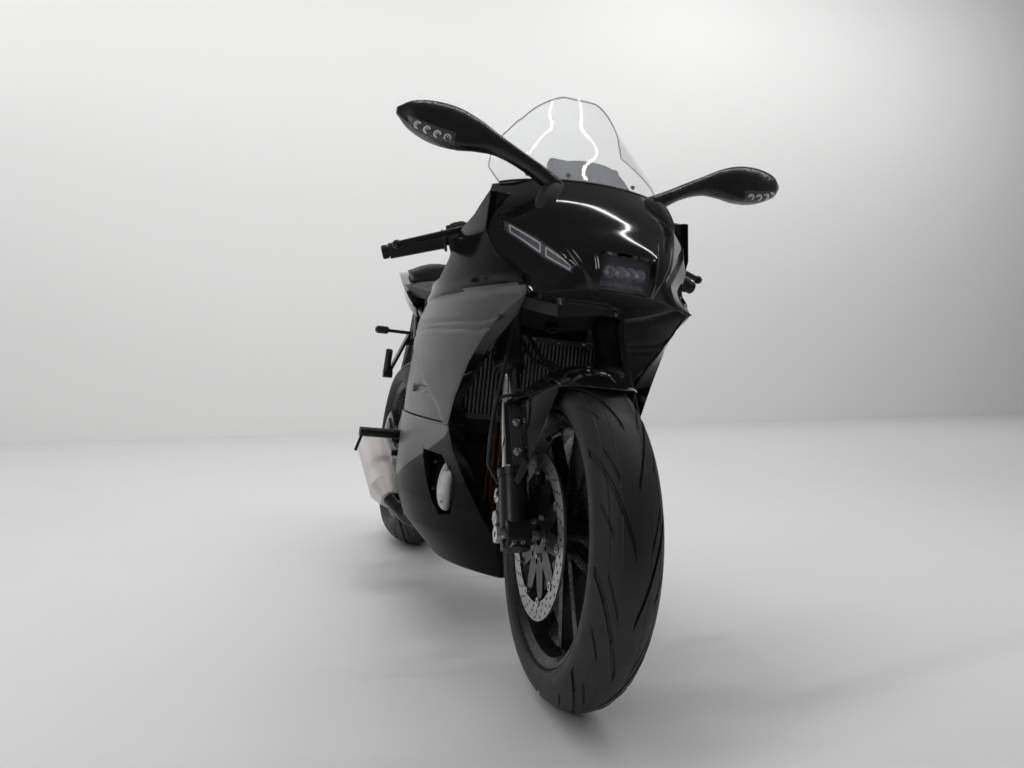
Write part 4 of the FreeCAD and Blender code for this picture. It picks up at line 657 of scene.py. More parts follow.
def tyre_profile(radius, half, drop, rim_half):
    """Half of a tyre's section: rows of radius, offset and share of the tread, from the crown."""
    chord = half - 2
    crown = (chord ** 2 + drop ** 2) / (2 * drop)
    swing = math.asin(chord / crown)
    shares = {i / TREAD_COLUMNS for i in range(TREAD_COLUMNS + 1)}
    shares |= {line + offset for line in MOULD_LINES for offset in (-MOULD_HALF, 0, MOULD_HALF)}
    rows = []
    for share in sorted(shares):
        bulge = crown + (MOULD_RISE if share in MOULD_LINES else 0)
        rows.append((radius - crown + bulge * math.cos(swing * share),
                     bulge * math.sin(swing * share), share))
    edge = radius - drop
    wall = ((edge - 5, half - 1), (edge - 12, half - 0.5), (edge - 20, half - 3),
            (edge - 22, half - 2.4), (234, rim_half + 6), (231, rim_half + 3),
            (229, rim_half - 3), (218, rim_half - 6))
    return rows + [(r, y, 1) for r, y in wall]


def make_tyre(name, node, body, radius, half, drop, rim_half, pitches):
    """Round tyre with slanted grooves cut in its tread, each side half a pitch behind."""
    profile = tyre_profile(radius, half, drop, rim_half)
    section = [(r, -y, share) for r, y, share in reversed(profile[1:])] + profile
    rows = []
    for half_pitch in range(2 * pitches):
        for mark in TREAD_MARKS:
            place = half_pitch / 2 + mark
            row = []
            for r, y, share in section:
                cut = groove_depth((place if y < 0 else place + 0.5) % 1, share)
                swept = place + GROOVE_SWEEP * (1 - (1 - share) ** 1.35)
                row.append(on_circle(r - 0.9 * cut, TURN * swept / pitches,
                                     y * (1 - 0.25 * cut / half)))
            rows.append(row)
    build = Build(name, HUBS[body], body, "tyre_rubber")
    build.skin(rows, closed=True, looped=True)
    return build.done(angle=32, replaces=[node])


DISC_WALL = 4.5
DISC_ARMS = 10
# friction ring's drilled rows: share from its inner to its outer edge, phase
DRILLED = ((0.2, 0), (0.5, 1 / 3), (0.8, 2 / 3))
# spring-loaded button between ring and carrier: radius, distance along the axle
BOBBIN = ((0, -4.2), (8, -4.2), (8, -3.4), (6.4, -3), (6.4, 3), (8, 3.4), (8, 4.2), (4, 4.2),
          (4, 2.6), (0, 2.6))


def make_disc(build, outer, inner, offset, hub_radius, side):
    """Drilled friction ring on its star-shaped carrier, with bobbins between."""
    flat = Matrix.Rotation(math.radians(-90), 4, "X")
    middle = side * (offset + DISC_WALL / 2)
    holes = [ring_points(inner, 96)]
    for k in range(DISC_ARMS * 3):
        for share, phase in DRILLED:
            hole = round_at(blend(inner, outer, share), TURN * (k + phase) / (DISC_ARMS * 3))
            holes.append(ring_points(3.1, 10, hole))
    build.use("disc_steel")
    plate_mesh(build, ring_points(outer, 120), holes, DISC_WALL,
               Matrix.Translation((0, middle, 0)) @ flat)
    arm = ((-0.16, inner - 18), (-0.09, inner - 3), (0.09, inner - 3), (0.16, inner - 18),
           (0.3, hub_radius + 26))
    star, windows = [], [ring_points(hub_radius - 16, 40)]
    for k in range(DISC_ARMS):
        star += [round_at(r, TURN * k / DISC_ARMS + lag) for lag, r in arm]
        hole = round_at(hub_radius + 13, TURN * (k + 0.5) / DISC_ARMS)
        windows.append(ring_points(5, 12, hole))
    build.use("black_alloy")
    plate_mesh(build, star, windows, 4, Matrix.Translation((0, middle - side * 3, 0)) @ flat)
    build.use("axle_steel")
    for k in range(DISC_ARMS):
        a = TURN * k / DISC_ARMS
        build.lathe(BOBBIN, on_circle(inner - 1, a, middle), LEFT * side, 16)
        if k % 2 == 0:
            build.bolt(on_circle(hub_radius + 2, a, middle - side), LEFT * side, 5)


def make_discs():
    """The two front discs and the rear one."""
    for name, node, body, discs in (
            ("front_brake_rotors", "front_discs", "front_wheel",
             ((149, 117, 62, 34, -1), (149, 117, 62, 34, 1))),
            ("rear_brake_rotor", "rear_disc", "rear_wheel", ((122, 92, 100, 46, -1),))):
        build = Build(name, HUBS[body], body, "disc_steel", "black_alloy", "axle_steel")
        for disc in discs:
            make_disc(build, *disc)
        build.done(angle=30, replaces=[node])


def make_valves():
    """A valve on the right of each rim: its stem and its cap."""
    for body, half in (("front_wheel", 14), ("rear_wheel", 22)):
        out = on_circle(1, math.radians(112))
        base, axis = out * 197 - LEFT * half, -LEFT - out * 0.6
        valve = Build(body + "_valve", HUBS[body], body, "black_alloy", "axle_steel")
        valve.use("axle_steel").lathe(((0, 0), (4.5, 0), (4.5, 3), (3, 4), (3, 22), (0, 22)),
                                      base, axis, 14)
        valve.use("black_alloy").lathe(((0, 21), (4.2, 21), (4.2, 31), (3, 33), (0, 33)),
                                       base, axis, 14)
        valve.done(bevel=0.3)


# ---------------------------------------------------------------- fairing

# seam between the cowl and a side panel, seen from the side: height, distance forward
SEAM = ((722, 66), (760, 24), (794, -33), (838, -56), (915, -60))
SEAM_TOP = 915
# side panel, then lower panel: height, inner edge x and y, crease x and y, middle x and y,
# rear x and y
SIDE = (
    (930, -62, 186, -60, 196, -150, 203, -300, 190),
    (840, -58, 190, -52, 202, -240, 212, -530, 180),
    (794, -32, 168, -26, 178, -245, 211, -525, 187),
    (760, 23, 144, 26, 152, -245, 210, -515, 192),
    (722, 61, 151, 66, 157, -245, 213, -560, 200),
    (690, 20, 154, -20, 170, -245, 215, -595, 205),
    (650, -50, 160, -75, 184, -270, 218, -630, 203),
    (600, -140, 164, -125, 195, -315, 222, -675, 200),
    (530, -262, 160, -175, 203, -365, 220, -700, 200),
    (474, -300, 148, -208, 203, -375, 216, -712, 199))
LOWER = (
    (474, -300, 148, -208, 203, -375, 216, -712, 199),
    (420, -290, 140, -245, 178, -395, 207, -722, 196),
    (350, -316, 100, -300, 130, -430, 195, -735, 190),
    (290, -316, 66, -308, 92, -455, 184, -745, 186),
    (220, -320, 26, -322, 40, -480, 158, -740, 158),
    (138, -342, 8, -345, 16, -485, 92, -700, 90))
# rear edge of each panel: height, distance forward
SIDE_END = ((474, -712), (560, -690), (690, -566), (775, -522), (775.5, -400), (778, -345),
            (792, -310), (826, -250), (858, -214), (878, -128), (915, -60))
LOWER_END = ((138, -685), (160, -690), (250, -700), (320, -725), (474, -712))
PANEL_FOOT = 474
BELLY_FOOT = 138
RETURN_TOP = 722
SHOULDER_FOOT = 744

# lines on the panels, seen from the side: distance forward, height
LEDGE = ((-640, 744), (-300, 737), (-120, 740), (0, 742), (140, 730))
STRIPE_HIGH = ((-640, 676), (-420, 684), (-230, 678), (-90, 676), (60, 700))
STRIPE_LOW = ((-640, 662), (-420, 670), (-230, 664), (-90, 660), (60, 680))
LAYER_EDGE = [(-720, 672), (-600, 640), (-422, 577), (-337, 536), (-273, 510), (-222, 460)]
LAYER = LAYER_EDGE + [(-720, 460)]
GILL = ((-515, 538), (-425, 540), (-345, 532))
WINDOW = [(-396, 408), (-306, 404), (-314, 374), (-352, 305), (-376, 270), (-414, 260),
          (-418, 300), (-414, 350)]
# edge of a painted reflection on the belly's sides: satin grey paint above this line, darker gloss below it,
# though the real paint is one tone
BELLY_REFLECTION_EDGE = ((-745, 296), (-596, 326), (-453, 380), (-252, 447), (-190, 474))
# belly's floor: where it starts, has its full width and ends, and how far its edges rise
FLOOR_NOSE = -341
FLOOR_WIDE = -485
FLOOR_TAIL = -685
FLOOR_RISE = 4


def folded_row(table, z, end, side, count):
    """One plan of a panel: its inner edge, its crease, then an arc back to its rear edge."""
    ix, iy, fx, fy, *rest = table_at(table, z, soft=False)
    centre, radius = circle_through((fx, fy), rest[:2], rest[2:])
    row = [Vector((blend(ix, fx, k / 3), side * blend(iy, fy, k / 3), z)) for k in range(4)]
    end = min(end, fx - 1)
    for k in range(1, count + 1):
        x = blend(fx, end, k / count)
        row.append(Vector((x, side * (centre.y + leg_of(radius, x - centre.x)), z)))
    return row


def groove(point, line, width, depth):
    """Depth of a smooth channel along a line seen from the side."""
    return depth * (1 - ease(near_line((point.x, point.z), line), width * 0.35, width))


def step(point, line, width, height):
    """Raises the panel above a line seen from the side, with a soft edge and soft ends."""
    first, last = line[0][0], line[-1][0]
    if not first <= point.x <= last:
        return 0
    ends = ease(point.x, first, first + 60) * (1 - ease(point.x, last - 60, last))
    return height * ends * ease(point.z - line_at(line, point.x), -width, width)


def make_side_panel(name, node, side, look):
    """Side fairing: a ledge at the top, two swage lines and a gill behind."""
    build = Build(name, CHASSIS, "root", "fairing_black", "gloss_black", "shoulder_black",
                  "matte_black")
    even = {PANEL_FOOT + (SEAM_TOP - PANEL_FOOT) * k / 84 for k in range(85)}
    heights = sorted(even | {775, 775.5, 778}, reverse=True)
    build.skin([folded_row(SIDE, z, line_at(SIDE_END, z), side, 76) for z in heights])
    swage = look.swage_depth * 1000

    def depth(point):
        """Height of the panel's ledge less its swage lines, its layered edge and its gill."""
        move = step(point, LEDGE, 5, 6)
        move -= groove(point, STRIPE_HIGH, 5, swage) + groove(point, STRIPE_LOW, 5, swage)
        spot = (point.x, point.z)
        if inside(spot, LAYER):
            move -= 5 * ease(near_line(spot, LAYER_EDGE), 0, 6)
        return move - groove(point, GILL, 12, 9)

    def on_return(point):
        """Whether a point lies ahead of the crease."""
        ix, _, fx, fy = table_at(SIDE, point.z, soft=False)[:4]
        return (abs(point.y) < fy and abs(point.x - fx) < abs(ix - fx) + 4
                and point.z < RETURN_TOP)
    build.relief(depth, LEFT * side)
    build.paint("shoulder_black",
                lambda point: step(point, LEDGE, 2, 1) > 0.5 or point.z > SHOULDER_FOOT)
    build.paint("gloss_black", on_return)
    build.done(angle=28, thick=look.panel_wall * 1000, replaces=[node],
               outward=LEFT * side)


def floor_half(x):
    """Half width of the belly's floor."""
    if x <= FLOOR_WIDE:
        return 90
    return blend(9, 91, max(0, (FLOOR_NOSE - x) / (FLOOR_NOSE - FLOOR_WIDE)) ** 0.7)


def make_belly(look):
    """Belly pan: two sides with a window for the clutch cover, and a floor."""
    build = Build("belly_fairing", CHASSIS, "root", "belly_black", "fairing_black",
                  "matte_black")
    for side in (-1, 1):
        build.skin([folded_row(LOWER, z, line_at(LOWER_END, z), side, 48) for z in
                    [PANEL_FOOT - (PANEL_FOOT - BELLY_FOOT) * k / 56 for k in range(57)]])
    build.window(WINDOW, "Y").score(BELLY_REFLECTION_EDGE, "Y")
    # painted reflection: the sides turn satin grey above the reflection edge and stay darker gloss below it
    build.paint("fairing_black", lambda point: point.x < line_at(
        [(row[0], row[3]) for row in LOWER], point.z) and point.z > line_at(BELLY_REFLECTION_EDGE, point.x))
    floor = []
    for k in range(21):
        x = blend(FLOOR_NOSE, FLOOR_TAIL, k / 20)
        floor.append([Vector((x, floor_half(x) * j / 4, BELLY_FOOT + FLOOR_RISE * abs(j / 4)))
                      for j in range(-4, 5)])
    build.use("matte_black").skin(floor)
    build.done(angle=28, thick=look.panel_wall * 1000, replaces=["belly_pan"])

    slats = Build("belly_pan_slats", CHASSIS, "root", "gloss_black")
    for side in (-1, 1):
        for z in (205, 229, 253, 277):
            x, y = table_at(LOWER, z, soft=False)[:2]
            outline = [(x + 3, side * (y - 2), z), (x + 1, side * (y + 24), z + 12),
                       (x - 22, side * (y + 20), z + 6), (x - 22, side * (y - 4), z - 6)]
            slats.prism(outline, (0, 0, 4))
    slats.done(bevel=1)


COWL = (  # height, nose x, corner x and y, rear x and y
    (722, 103, 78, 124, 67, 157),
    (770, 120, 84, 100, -20, 184),
    (830, 100, 52, 118, -50, 203),
    (890, 52, 12, 130, -80, 204),
    (945, -13, -64, 130, -140, 180))
COWL_TOP = 945
# lower edge of the cowl: height at the nose, at the corners and at the rear
LIP_NOSE = 741
LIP_CORNER = 726
LIP_REAR = 722
CORNER_SHARE = 0.55
# openings in the nose, seen from the front: distance from the middle, height
LAMP = [(-46, 740), (46, 740), (50, 800), (-50, 800)]
STRIP_TOP = [(187, 866), (132, 822), (86, 774)]
STRIP_LOW = [(184, 838), (130, 786), (90, 758)]
STRIP = STRIP_TOP + STRIP_LOW[::-1]
# the nose's two raised blades: height and half width, then where they fade out and their step
BLADES = ((((738, 57), (752, 63), (803, 94), (850, 118)), 795, 850, 5),
          (((738, 50), (780, 53), (815, 60), (860, 78)), 805, 860, 4))


def nose_arc(row):
    """Circle of the nose's plan between its corners."""
    nose, cx, cy = row[:3]
    return circle_through((cx, -cy), (nose, 0), (cx, cy))


def cowl_row(z_share, count):
    """One plan of the cowl, from its right rear edge round the nose to its left one."""
    row = []
    for k in range(-count, count + 1):
        share = abs(k / count)
        arc = min(1, share / CORNER_SHARE)
        flank = (share - CORNER_SHARE) / (1 - CORNER_SHARE)
        low = blend(LIP_CORNER, LIP_REAR, flank) if flank > 0 else blend(
            LIP_NOSE, LIP_CORNER, arc ** 2)
        z = blend(low, COWL_TOP, z_share)
        nose, cx, cy, rx, ry = table_at(COWL, z)
        if flank > 0:
            end = line_at(SEAM, z) if z < SEAM_TOP + 0.3 else rx
            flank *= (end - cx) / (rx - cx)
            x, y = blend(cx, rx, flank), blend(cy, ry, flank)
        else:
            centre, radius = nose_arc((nose, cx, cy))
            y = cy * arc
            x = centre.x + leg_of(radius, y)
        row.append(Vector((x, math.copysign(y, k), z)))
    return row


def cowl_point(y, z, back=0.0):
    """Point on the nose at a place seen from the front, set back along its plan normal."""
    nose, cx, cy, rx, ry = table_at(COWL, z)
    if abs(y) <= cy:
        centre, radius = nose_arc((nose, cx, cy))
        x = centre.x + leg_of(radius, y)
        out = Vector((x - centre.x, y, 0)).normalized()
    else:
        x = blend(cx, rx, (abs(y) - cy) / (ry - cy))
        out = Vector((ry - cy, math.copysign(cx - rx, y), 0)).normalized()
    return Vector((x, y, z)) - out * back


def nose_relief(point):
    """Raised blades whose edges run up the nose, and the sunk light slots."""
    move = 0
    for table, fade_from, fade_to, height in BLADES:
        half = line_at(table, point.z)
        fade = 1 - ease(point.z, fade_from, fade_to)
        move += height * fade * (1 - ease(abs(point.y), half - 4, half + 4))
    spot = (abs(point.y), point.z)
    if inside(spot, STRIP):
        move -= 11 * ease(near_line(spot, STRIP + STRIP[:1]), 0, 4)
    return move


def make_cowl_strips():
    """Closes the slot between the cowl's flank and each side panel."""
    build = Build("cowl_side_strips", CHASSIS, "root", "gloss_black")
    for side in (-1, 1):
        rows = []
        for k in range(41):
            z = blend(LIP_CORNER, SEAM_TOP - 1, k / 40)
            cx, cy, rx, ry = table_at(COWL, z)[1:]
            end = line_at(SEAM, z)
            panel_x, panel_y = table_at(SIDE, z, soft=False)[:2]
            cowl_y = blend(cy, ry, (end - cx) / (rx - cx)) - 1
            rim_y = panel_y + 1.5 + 6 * ease(z, 736, 748)
            rows.append([Vector((blend(end, panel_x, j / 4) - 1,
                                 side * blend(cowl_y, rim_y, j / 4), z)) for j in range(5)])
        build.skin(rows)
    build.done(thick=2)


def make_cowl(look):
    """Nose: a central blade between two creases, light slots in the cheeks, a lip below."""
    build = Build("nose_fairing", CHASSIS, "root", "gloss_black", "matte_black")
    build.skin([cowl_row(k / 100, 110) for k in range(101)])
    build.window(LAMP, "X").mesh.normal_update()
    tip = max(build.mesh.verts, key=lambda vert: vert.co.x)
    outwards = math.copysign(1, tip.normal.x)
    build.relief(lambda point: outwards * nose_relief(point))
    build.paint("matte_black", lambda point: inside((abs(point.y), point.z), STRIP))
    build.done(angle=30, thick=look.panel_wall * 1000, replaces=["front_cowl"],
               outward=AHEAD)


# ---------------------------------------------------------------- tank, seats, tail and screen

# sections: distance forward, bottom height and half width, waist height and half width, top
TANK = ((-770, 722, 88, 770, 100, 812), (-690, 715, 112, 800, 128, 872),
        (-580, 712, 128, 850, 158, 962), (-470, 735, 130, 880, 160, 1002),
        (-400, 800, 112, 878, 134, 982), (-365, 850, 92, 893, 108, 948))
RIDER_SEAT = ((-778, 765, 78, 788, 84, 815), (-860, 775, 96, 798, 106, 828),
              (-960, 788, 114, 812, 128, 842), (-1060, 800, 122, 830, 144, 862),
              (-1140, 810, 122, 842, 148, 872), (-1185, 818, 118, 848, 138, 880))
PASSENGER_SEAT = ((-1200, 862, 112, 892, 122, 930), (-1300, 880, 104, 908, 112, 946),
                  (-1400, 895, 92, 922, 98, 950), (-1445, 902, 76, 926, 82, 944))
TAIL = ((-1060, 742, 118, 785, 140, 797), (-1160, 768, 118, 828, 142, 858),
        (-1300, 800, 106, 872, 132, 896), (-1425, 832, 92, 908, 118, 926),
        (-1540, 866, 70, 928, 104, 944), (-1632, 896, 44, 934, 84, 950))
# points of a ring: along its base, up each side and over its crown
RING_BASE = 11
RING_SIDE = 5
RING_CROWN = 22


def crown_ring(x, low, half_low, mid, half_mid, top, pinch):
    """Closed section across the machine: flat base, leaning sides and a crowned top."""
    centre, radius = circle_through((-half_mid, mid), (0, top), (half_mid, mid))

    def flank(share):
        """Point of the left side at a share of the way from the base to the waist."""
        return (blend(half_low, half_mid, share) - pinch * math.sin(math.pi * share),
                blend(low, mid, share))
    ring = [(blend(-half_low, half_low, k / RING_BASE), low) for k in range(RING_BASE)]
    ring += [flank(k / RING_SIDE) for k in range(RING_SIDE)]
    for k in range(RING_CROWN):
        y = blend(half_mid, -half_mid, k / RING_CROWN)
        ring.append((y, centre.y + leg_of(radius, y)))
    for k in range(RING_SIDE):
        y, z = flank(1 - k / RING_SIDE)
        ring.append((-y, z))
    return [Vector((x, y, z)) for y, z in ring]


def crowned_rows(table, steps, shrink, pinch=0.0):
    """Rings along a table of sections, drawn in a little towards both ends."""
    rows = []
    for k in range(steps + 1):
        x = blend(table[0][0], table[-1][0], k / steps)
        low, half_low, mid, half_mid, top = table_at(table, x)
        closing = 1 - shrink * max(0, 1 - min(k, steps - k) / (steps * 0.06)) ** 2
        middle = (low + top) / 2
        rows.append([Vector((p.x, p.y * closing, middle + (p.z - middle) * closing))
                     for p in crown_ring(x, low, half_low, mid, half_mid, top, pinch)])
    return rows


def make_tank():
    """Fuel tank with its knee hollows."""
    build = Build("tank_shell", CHASSIS, "root", "gloss_black")
    build.skin(crowned_rows(TANK, 40, 0.06, 6), closed=True, capped=True)
    for vert in build.mesh.verts:
        p = vert.co
        hollow = ease(p.x, -770, -700) * (1 - ease(p.x, -620, -520)) * (1 - ease(p.z, 850, 900))
        p.y *= 1 - 0.09 * hollow * ease(p.z, 725, 760)
    build.done(angle=50, levels=1, replaces=["fuel_tank"])


CAP_AT = Vector((-500, 0, 1000))
CAP_AXIS = Vector((0.12, 0, 1)).normalized()
CAP_PROFILE = ((0, 0), (40, 0), (40, 6), (38, 8), (30, 8.6), (29, 7.4), (24, 7.4), (23, 9),
               (0, 9.4))


def make_cap():
    """Filler cap and the screws of its ring."""
    build = Build("tank_filler", CHASSIS, "root", "black_alloy", "axle_steel")
    build.use("black_alloy").lathe(CAP_PROFILE, CAP_AT, CAP_AXIS, 48)
    build.use("axle_steel")
    for x, y in ring_points(34, 8):
        build.bolt(CAP_AT + Vector((x, y, 3.7)), CAP_AXIS, 2.6)
    build.done(replaces=["fuel_cap"])


PADS = (  # name, node, sections, places of the sewn channels
    ("rider_pad", "rider_seat", RIDER_SEAT, (-880, -1120)),
    ("passenger_pad", "passenger_seat", PASSENGER_SEAT, (-1245, -1380)))
EDGE_CHANNEL = 0.8  # share of the half width at which a channel runs along the pad
EDGE_DEPTH = 3


def make_pad(name, node, table, seams, look):
    """Foam pad: crowned, drawn in between its corners, with sewn channels and faint folds."""
    build = Build(name, CHASSIS, "root", "seat_vinyl", "matte_black")
    build.skin(crowned_rows(table, 48, 0.16, 4), closed=True, capped=True)
    for vert in build.mesh.verts:
        p = vert.co
        mid, half_mid = table_at(table, p.x)[2:4]
        if p.z > mid - 1:
            seam_depth = look.seam_depth * 1000
            dip = sum(seam_depth * (1 - ease(abs(p.x - seam), 1.5, 9)) for seam in seams)
            dip += EDGE_DEPTH * (1 - ease(abs(abs(p.y) - half_mid * EDGE_CHANNEL), 1.5, 7))
            p.z += 0.64 * math.sin(p.x / 17) * math.sin(p.y / 23) - dip
    pad = build.done(angle=60, levels=1, replaces=[node])


def make_piping(name, table):
    """Piping along both edges of a pad."""
    build = Build(name + "_piping", CHASSIS, "root", "matte_black")
    for side in (-1, 1):
        line = []
        for k in range(25):
            x = blend(table[0][0] - 8, table[-1][0] + 8, k / 24)
            mid, half_mid = table_at(table, x)[2:4]
            line.append((x, side * (half_mid - 1), mid + 1))
        build.tube(line, 1.6, 8, 60)
    build.done()


def make_tail():
    """Tail fairing with a hollow along each side."""
    build = Build("tail_shell", CHASSIS, "root", "gloss_black", "matte_black")
    build.skin(crowned_rows(TAIL, 44, 0.02), closed=True, capped=True)
    build.paint("matte_black", lambda point: point.z < table_at(TAIL, point.x)[0] + 3)
    for vert in build.mesh.verts:
        p = vert.co
        low, _, mid = table_at(TAIL, p.x)[:3]
        share = (p.z - low) / (mid - low)
        if 0 < share < 1:
            p.y *= 1 - 0.05 * (1 - ease(abs(share - 0.55), 0.05, 0.25))
    build.done(angle=40, replaces=["tail_fairing"])


TAIL_END = -1632


def make_tail_lamp():
    """Rear lamp: a dark bed with nine red lenses."""
    build = Build("rear_light", CHASSIS, "root", "red_lens", "matte_black")
    build.use("matte_black").prism(
        [(TAIL_END, y, z) for y, z in ((-58, 913), (58, 913), (54, 929), (-54, 929))],
        (-6, 0, 0))
    build.use("red_lens")
    for k in range(-4, 5):
        build.prism([(TAIL_END - 6, k * 12 + y, z) for y, z in
                     ((-5, 915), (5, 915), (5, 927), (-5, 927))], (-7, 0, 0))
    build.done(bevel=1, replaces=["tail_lamp"])


# screen: height, nose x, side x and y; then where its rear edge lies: height, distance forward
SCREEN = ((930, 0, -150, 186), (1000, -62, -180, 180), (1060, -107, -235, 150),
          (1110, -146, -290, 112), (1170, -190, -310, 70))
SCREEN_REAR = ((945, -120), (985, -170), (1100, -300), (1164, -300))
SCREEN_FOOT = 945.5
SCREEN_HEIGHT = 213
# rounded top, seen from the front: the arc's three points, and where its ends start
SCREEN_ARC = ((-110, 1108), (0, 1163), (110, 1108))
ARC_FOOT = 1108
ARC_START = 1080


def screen_half(z):
    """Half width that the screen's outlines leave at a height, and its plan's circle."""
    nose, sx, sy = table_at(SCREEN, z)
    centre, radius = circle_through((sx, -sy), (nose, 0), (sx, sy))
    half = leg_of(radius, max(line_at(SCREEN_REAR, z), sx) - centre.x)
    if z > ARC_FOOT:
        arc_centre, arc_radius = circle_through(*SCREEN_ARC)
        half = min(half, leg_of(arc_radius, z - arc_centre.y))
    elif z > ARC_START:
        half = min(half, blend(200, 110, (z - ARC_START) / (ARC_FOOT - ARC_START)))
    return half, centre, radius


def make_screen(look):
    """Bubble screen in clear acrylic, with its dark edge strip, screws and its rim, a light grey tube that paints
    the highlight along the screen's edges.
    """
    build = Build("clear_bubble", CHASSIS, "root", "clear_screen", "matte_black")
    rows = []
    for k in range(49):
        z = SCREEN_FOOT + SCREEN_HEIGHT * math.sin(math.pi / 2 * k / 48)
        half, centre, radius = screen_half(z)
        rows.append([Vector((centre.x + leg_of(radius, half * j / 24), half * j / 24, z))
                     for j in range(-24, 25)])
    build.skin(rows)
    build.done(angle=60, thick=look.screen_wall * 1000,
               replaces=["windscreen"])
    edge = Build("screen_edge", CHASSIS, "root", "matte_black", "axle_steel")
    edge.use("matte_black").tube([p + Vector((0.6, 0, 1.2)) for p in rows[0]], 2.2, 8)
    edge.use("axle_steel")
    for k in (6, 15, 33, 42):
        p = rows[2][k]
        out = Vector((p.x + 420, p.y, 60)).normalized()
        edge.bolt(p + out * 1.4, out, 3.2)
    edge.done()
    # rim tube in a light grey, part opaque finish: a painted highlight along the screen's edges
    rim = Build("screen_rim_highlight", CHASSIS, "root", "rim_clear")
    rim.tube([row[0] for row in rows] + [row[-1] for row in reversed(rows)], 1.5, 8)
    rim.done()


# ---------------------------------------------------------------- mudguard

# arch across the tyre, seen from the front: its three points
GUARD_ARC = ((-71, 281), (0, 311), (71, 281))
GUARD_HALF = 71
GUARD_LIP = 1.5
# distance forward of its front edge at the middle, and how fast it falls to the sides
GUARD_NOSE = 150
GUARD_FALL = 0.014
WING_Y = 69.5
WING_RADIUS = 284
WING_FACE = 23  # distance ahead of the fork's frame


def make_mudguard():
    """Arch over the tyre with a rounded front edge, and a wing down each fork leg."""
    build = Build("mudguard_shell", HUBS["front_wheel"], "steering", "gloss_black")
    centre, radius = circle_through(*GUARD_ARC)
    rows = []
    for k in range(49):
        row = []
        for j in range(-20, 21):
            y = GUARD_HALF * j / 20
            height = centre.y + leg_of(radius, y)
            front = math.acos((GUARD_NOSE - GUARD_FALL * y * y) / height)
            row.append(on_circle(height + GUARD_LIP * ease(abs(y), 60, GUARD_HALF),
                                 blend(front, math.radians(150), k / 48), y))
        rows.append(row)
    build.skin(rows)
    unrake = Matrix.Rotation(-RAKE, 4, "Y")
    for side in (-1, 1):
        tip, back, rear = [Vector((x, side * WING_Y, leg_of(WING_RADIUS, x)))
                           for x in (76, -49, -94)]
        outer_top, inner_top, foot, foot_out = [
            unrake @ Vector((WING_FACE, side * y, z))
            for y, z in ((127, 243), (100, 243), (87, 118), (127, 124))]
        for corners in ((tip, outer_top, back), (back, outer_top, rear), (tip, foot, inner_top),
                        (inner_top, foot, foot_out, outer_top), (tip, inner_top, outer_top)):
            build.patch(corners)
    build.done(angle=25, thick=3, bevel=1.2, replaces=["front_mudguard"])


# ---------------------------------------------------------------- fork and front brake

LEG_X = -8
LEG_Y = 105
# turned pieces on a fork leg: radius and height
DUST_SEAL = ((20.8, 322), (24, 322), (26, 328), (30.6, 330), (30.6, 337), (20.8, 337))
TRAVEL_RING = ((20.8, 262), (23, 262), (23, 267), (20.8, 267))
TOP_CAP = ((0, 667), (20, 667), (20, 671), (18, 673), (12, 673), (12, 675), (0, 675))
ADJUSTER = ((0, 680), (5, 680), (5, 685), (4, 686), (0, 686))
COLLAR = ((27.4, 108), (29.5, 108), (29.5, 123), (27.4, 123))
CLAMP_SCREWS = (457, 471, 609, 623)
# mudguard mount, seen from the front: half distance and height of the plate and of its bracket
GUARD_FACE = 21.5
MOUNT_PLATE = ((94, 241), (119, 238), (114, 124), (95, 124))
MOUNT_BRACKET = ((84, 126), (94, 137), (101, 122), (113, 92), (106, 86), (91, 108))
# cap over a caliper's piston: radius and distance outwards; and where the caps and screws are
PISTON_CAP = ((0, -2), (15, -2), (15, 2.5), (13.5, 4), (10, 4), (9, 2.2), (6, 2.2), (6, 0.5),
              (0, 0.5))
PISTONS = ((-114, 103), (-134, 63))
CALIPER_SCREWS = ((-76, 96), (-82, 34))


def make_fork_fittings():
    """Seals, caps, clamp screws, the mudguard's plates and the calipers' caps."""
    build = Build("fork_fittings", FORK, "steering", "axle_steel", "matte_black",
                  "black_alloy", "bracket_grey", "cap_silver")
    for side in (-1, 1):
        leg = Vector((LEG_X, side * LEG_Y, 0))
        build.use("matte_black").lathe(DUST_SEAL, leg, UP, 40, looped=True)
        build.lathe(TRAVEL_RING, leg, UP, 40, looped=True)
        build.use("black_alloy").lathe(TOP_CAP, leg, UP, 36)
        build.prism([leg + Vector((x, y, 674)) for x, y in ring_points(11, 6)], (0, 0, 7))
        build.use("axle_steel").lathe(ADJUSTER, leg, UP, 16)
        for z in CLAMP_SCREWS:
            build.bolt((17, side * 118, z), (1, side * 0.3, 0), 4)
        build.use("bracket_grey")
        for outline, gap, thick in ((MOUNT_PLATE, 2, 1.8), (MOUNT_BRACKET, 3.8, 3)):
            build.prism([(GUARD_FACE + gap, side * y, z) for y, z in outline], (thick, 0, 0))
        build.use("axle_steel")
        for z in (206, 148):
            build.bolt((GUARD_FACE + 3.4, side * 104, z), AHEAD, 6.5)
        for y in (-6, 10):
            build.bolt((LEG_X + 24, side * (LEG_Y + y), -17), (1, 0, -0.15), 4.5)
        build.use("cap_silver")
        for x, z in PISTONS:
            build.lathe(PISTON_CAP, (x, side * 107, z), LEFT * side, 32)
        build.use("black_alloy").lathe(COLLAR, leg, UP, 36, looped=True)
        build.use("axle_steel")
        for x, z in CALIPER_SCREWS:
            build.bolt((x, side * (LEG_Y + 8), z), -AHEAD, 6)
    build.done(bevel=0.4)


# ---------------------------------------------------------------- handlebars

BAR_ROOT = (-10, 129, 643)
BAR_END = (-64, 347, 596)
BAR_LENGTH = (Vector(BAR_END) - Vector(BAR_ROOT)).length
SWITCHES_AT = 0.33
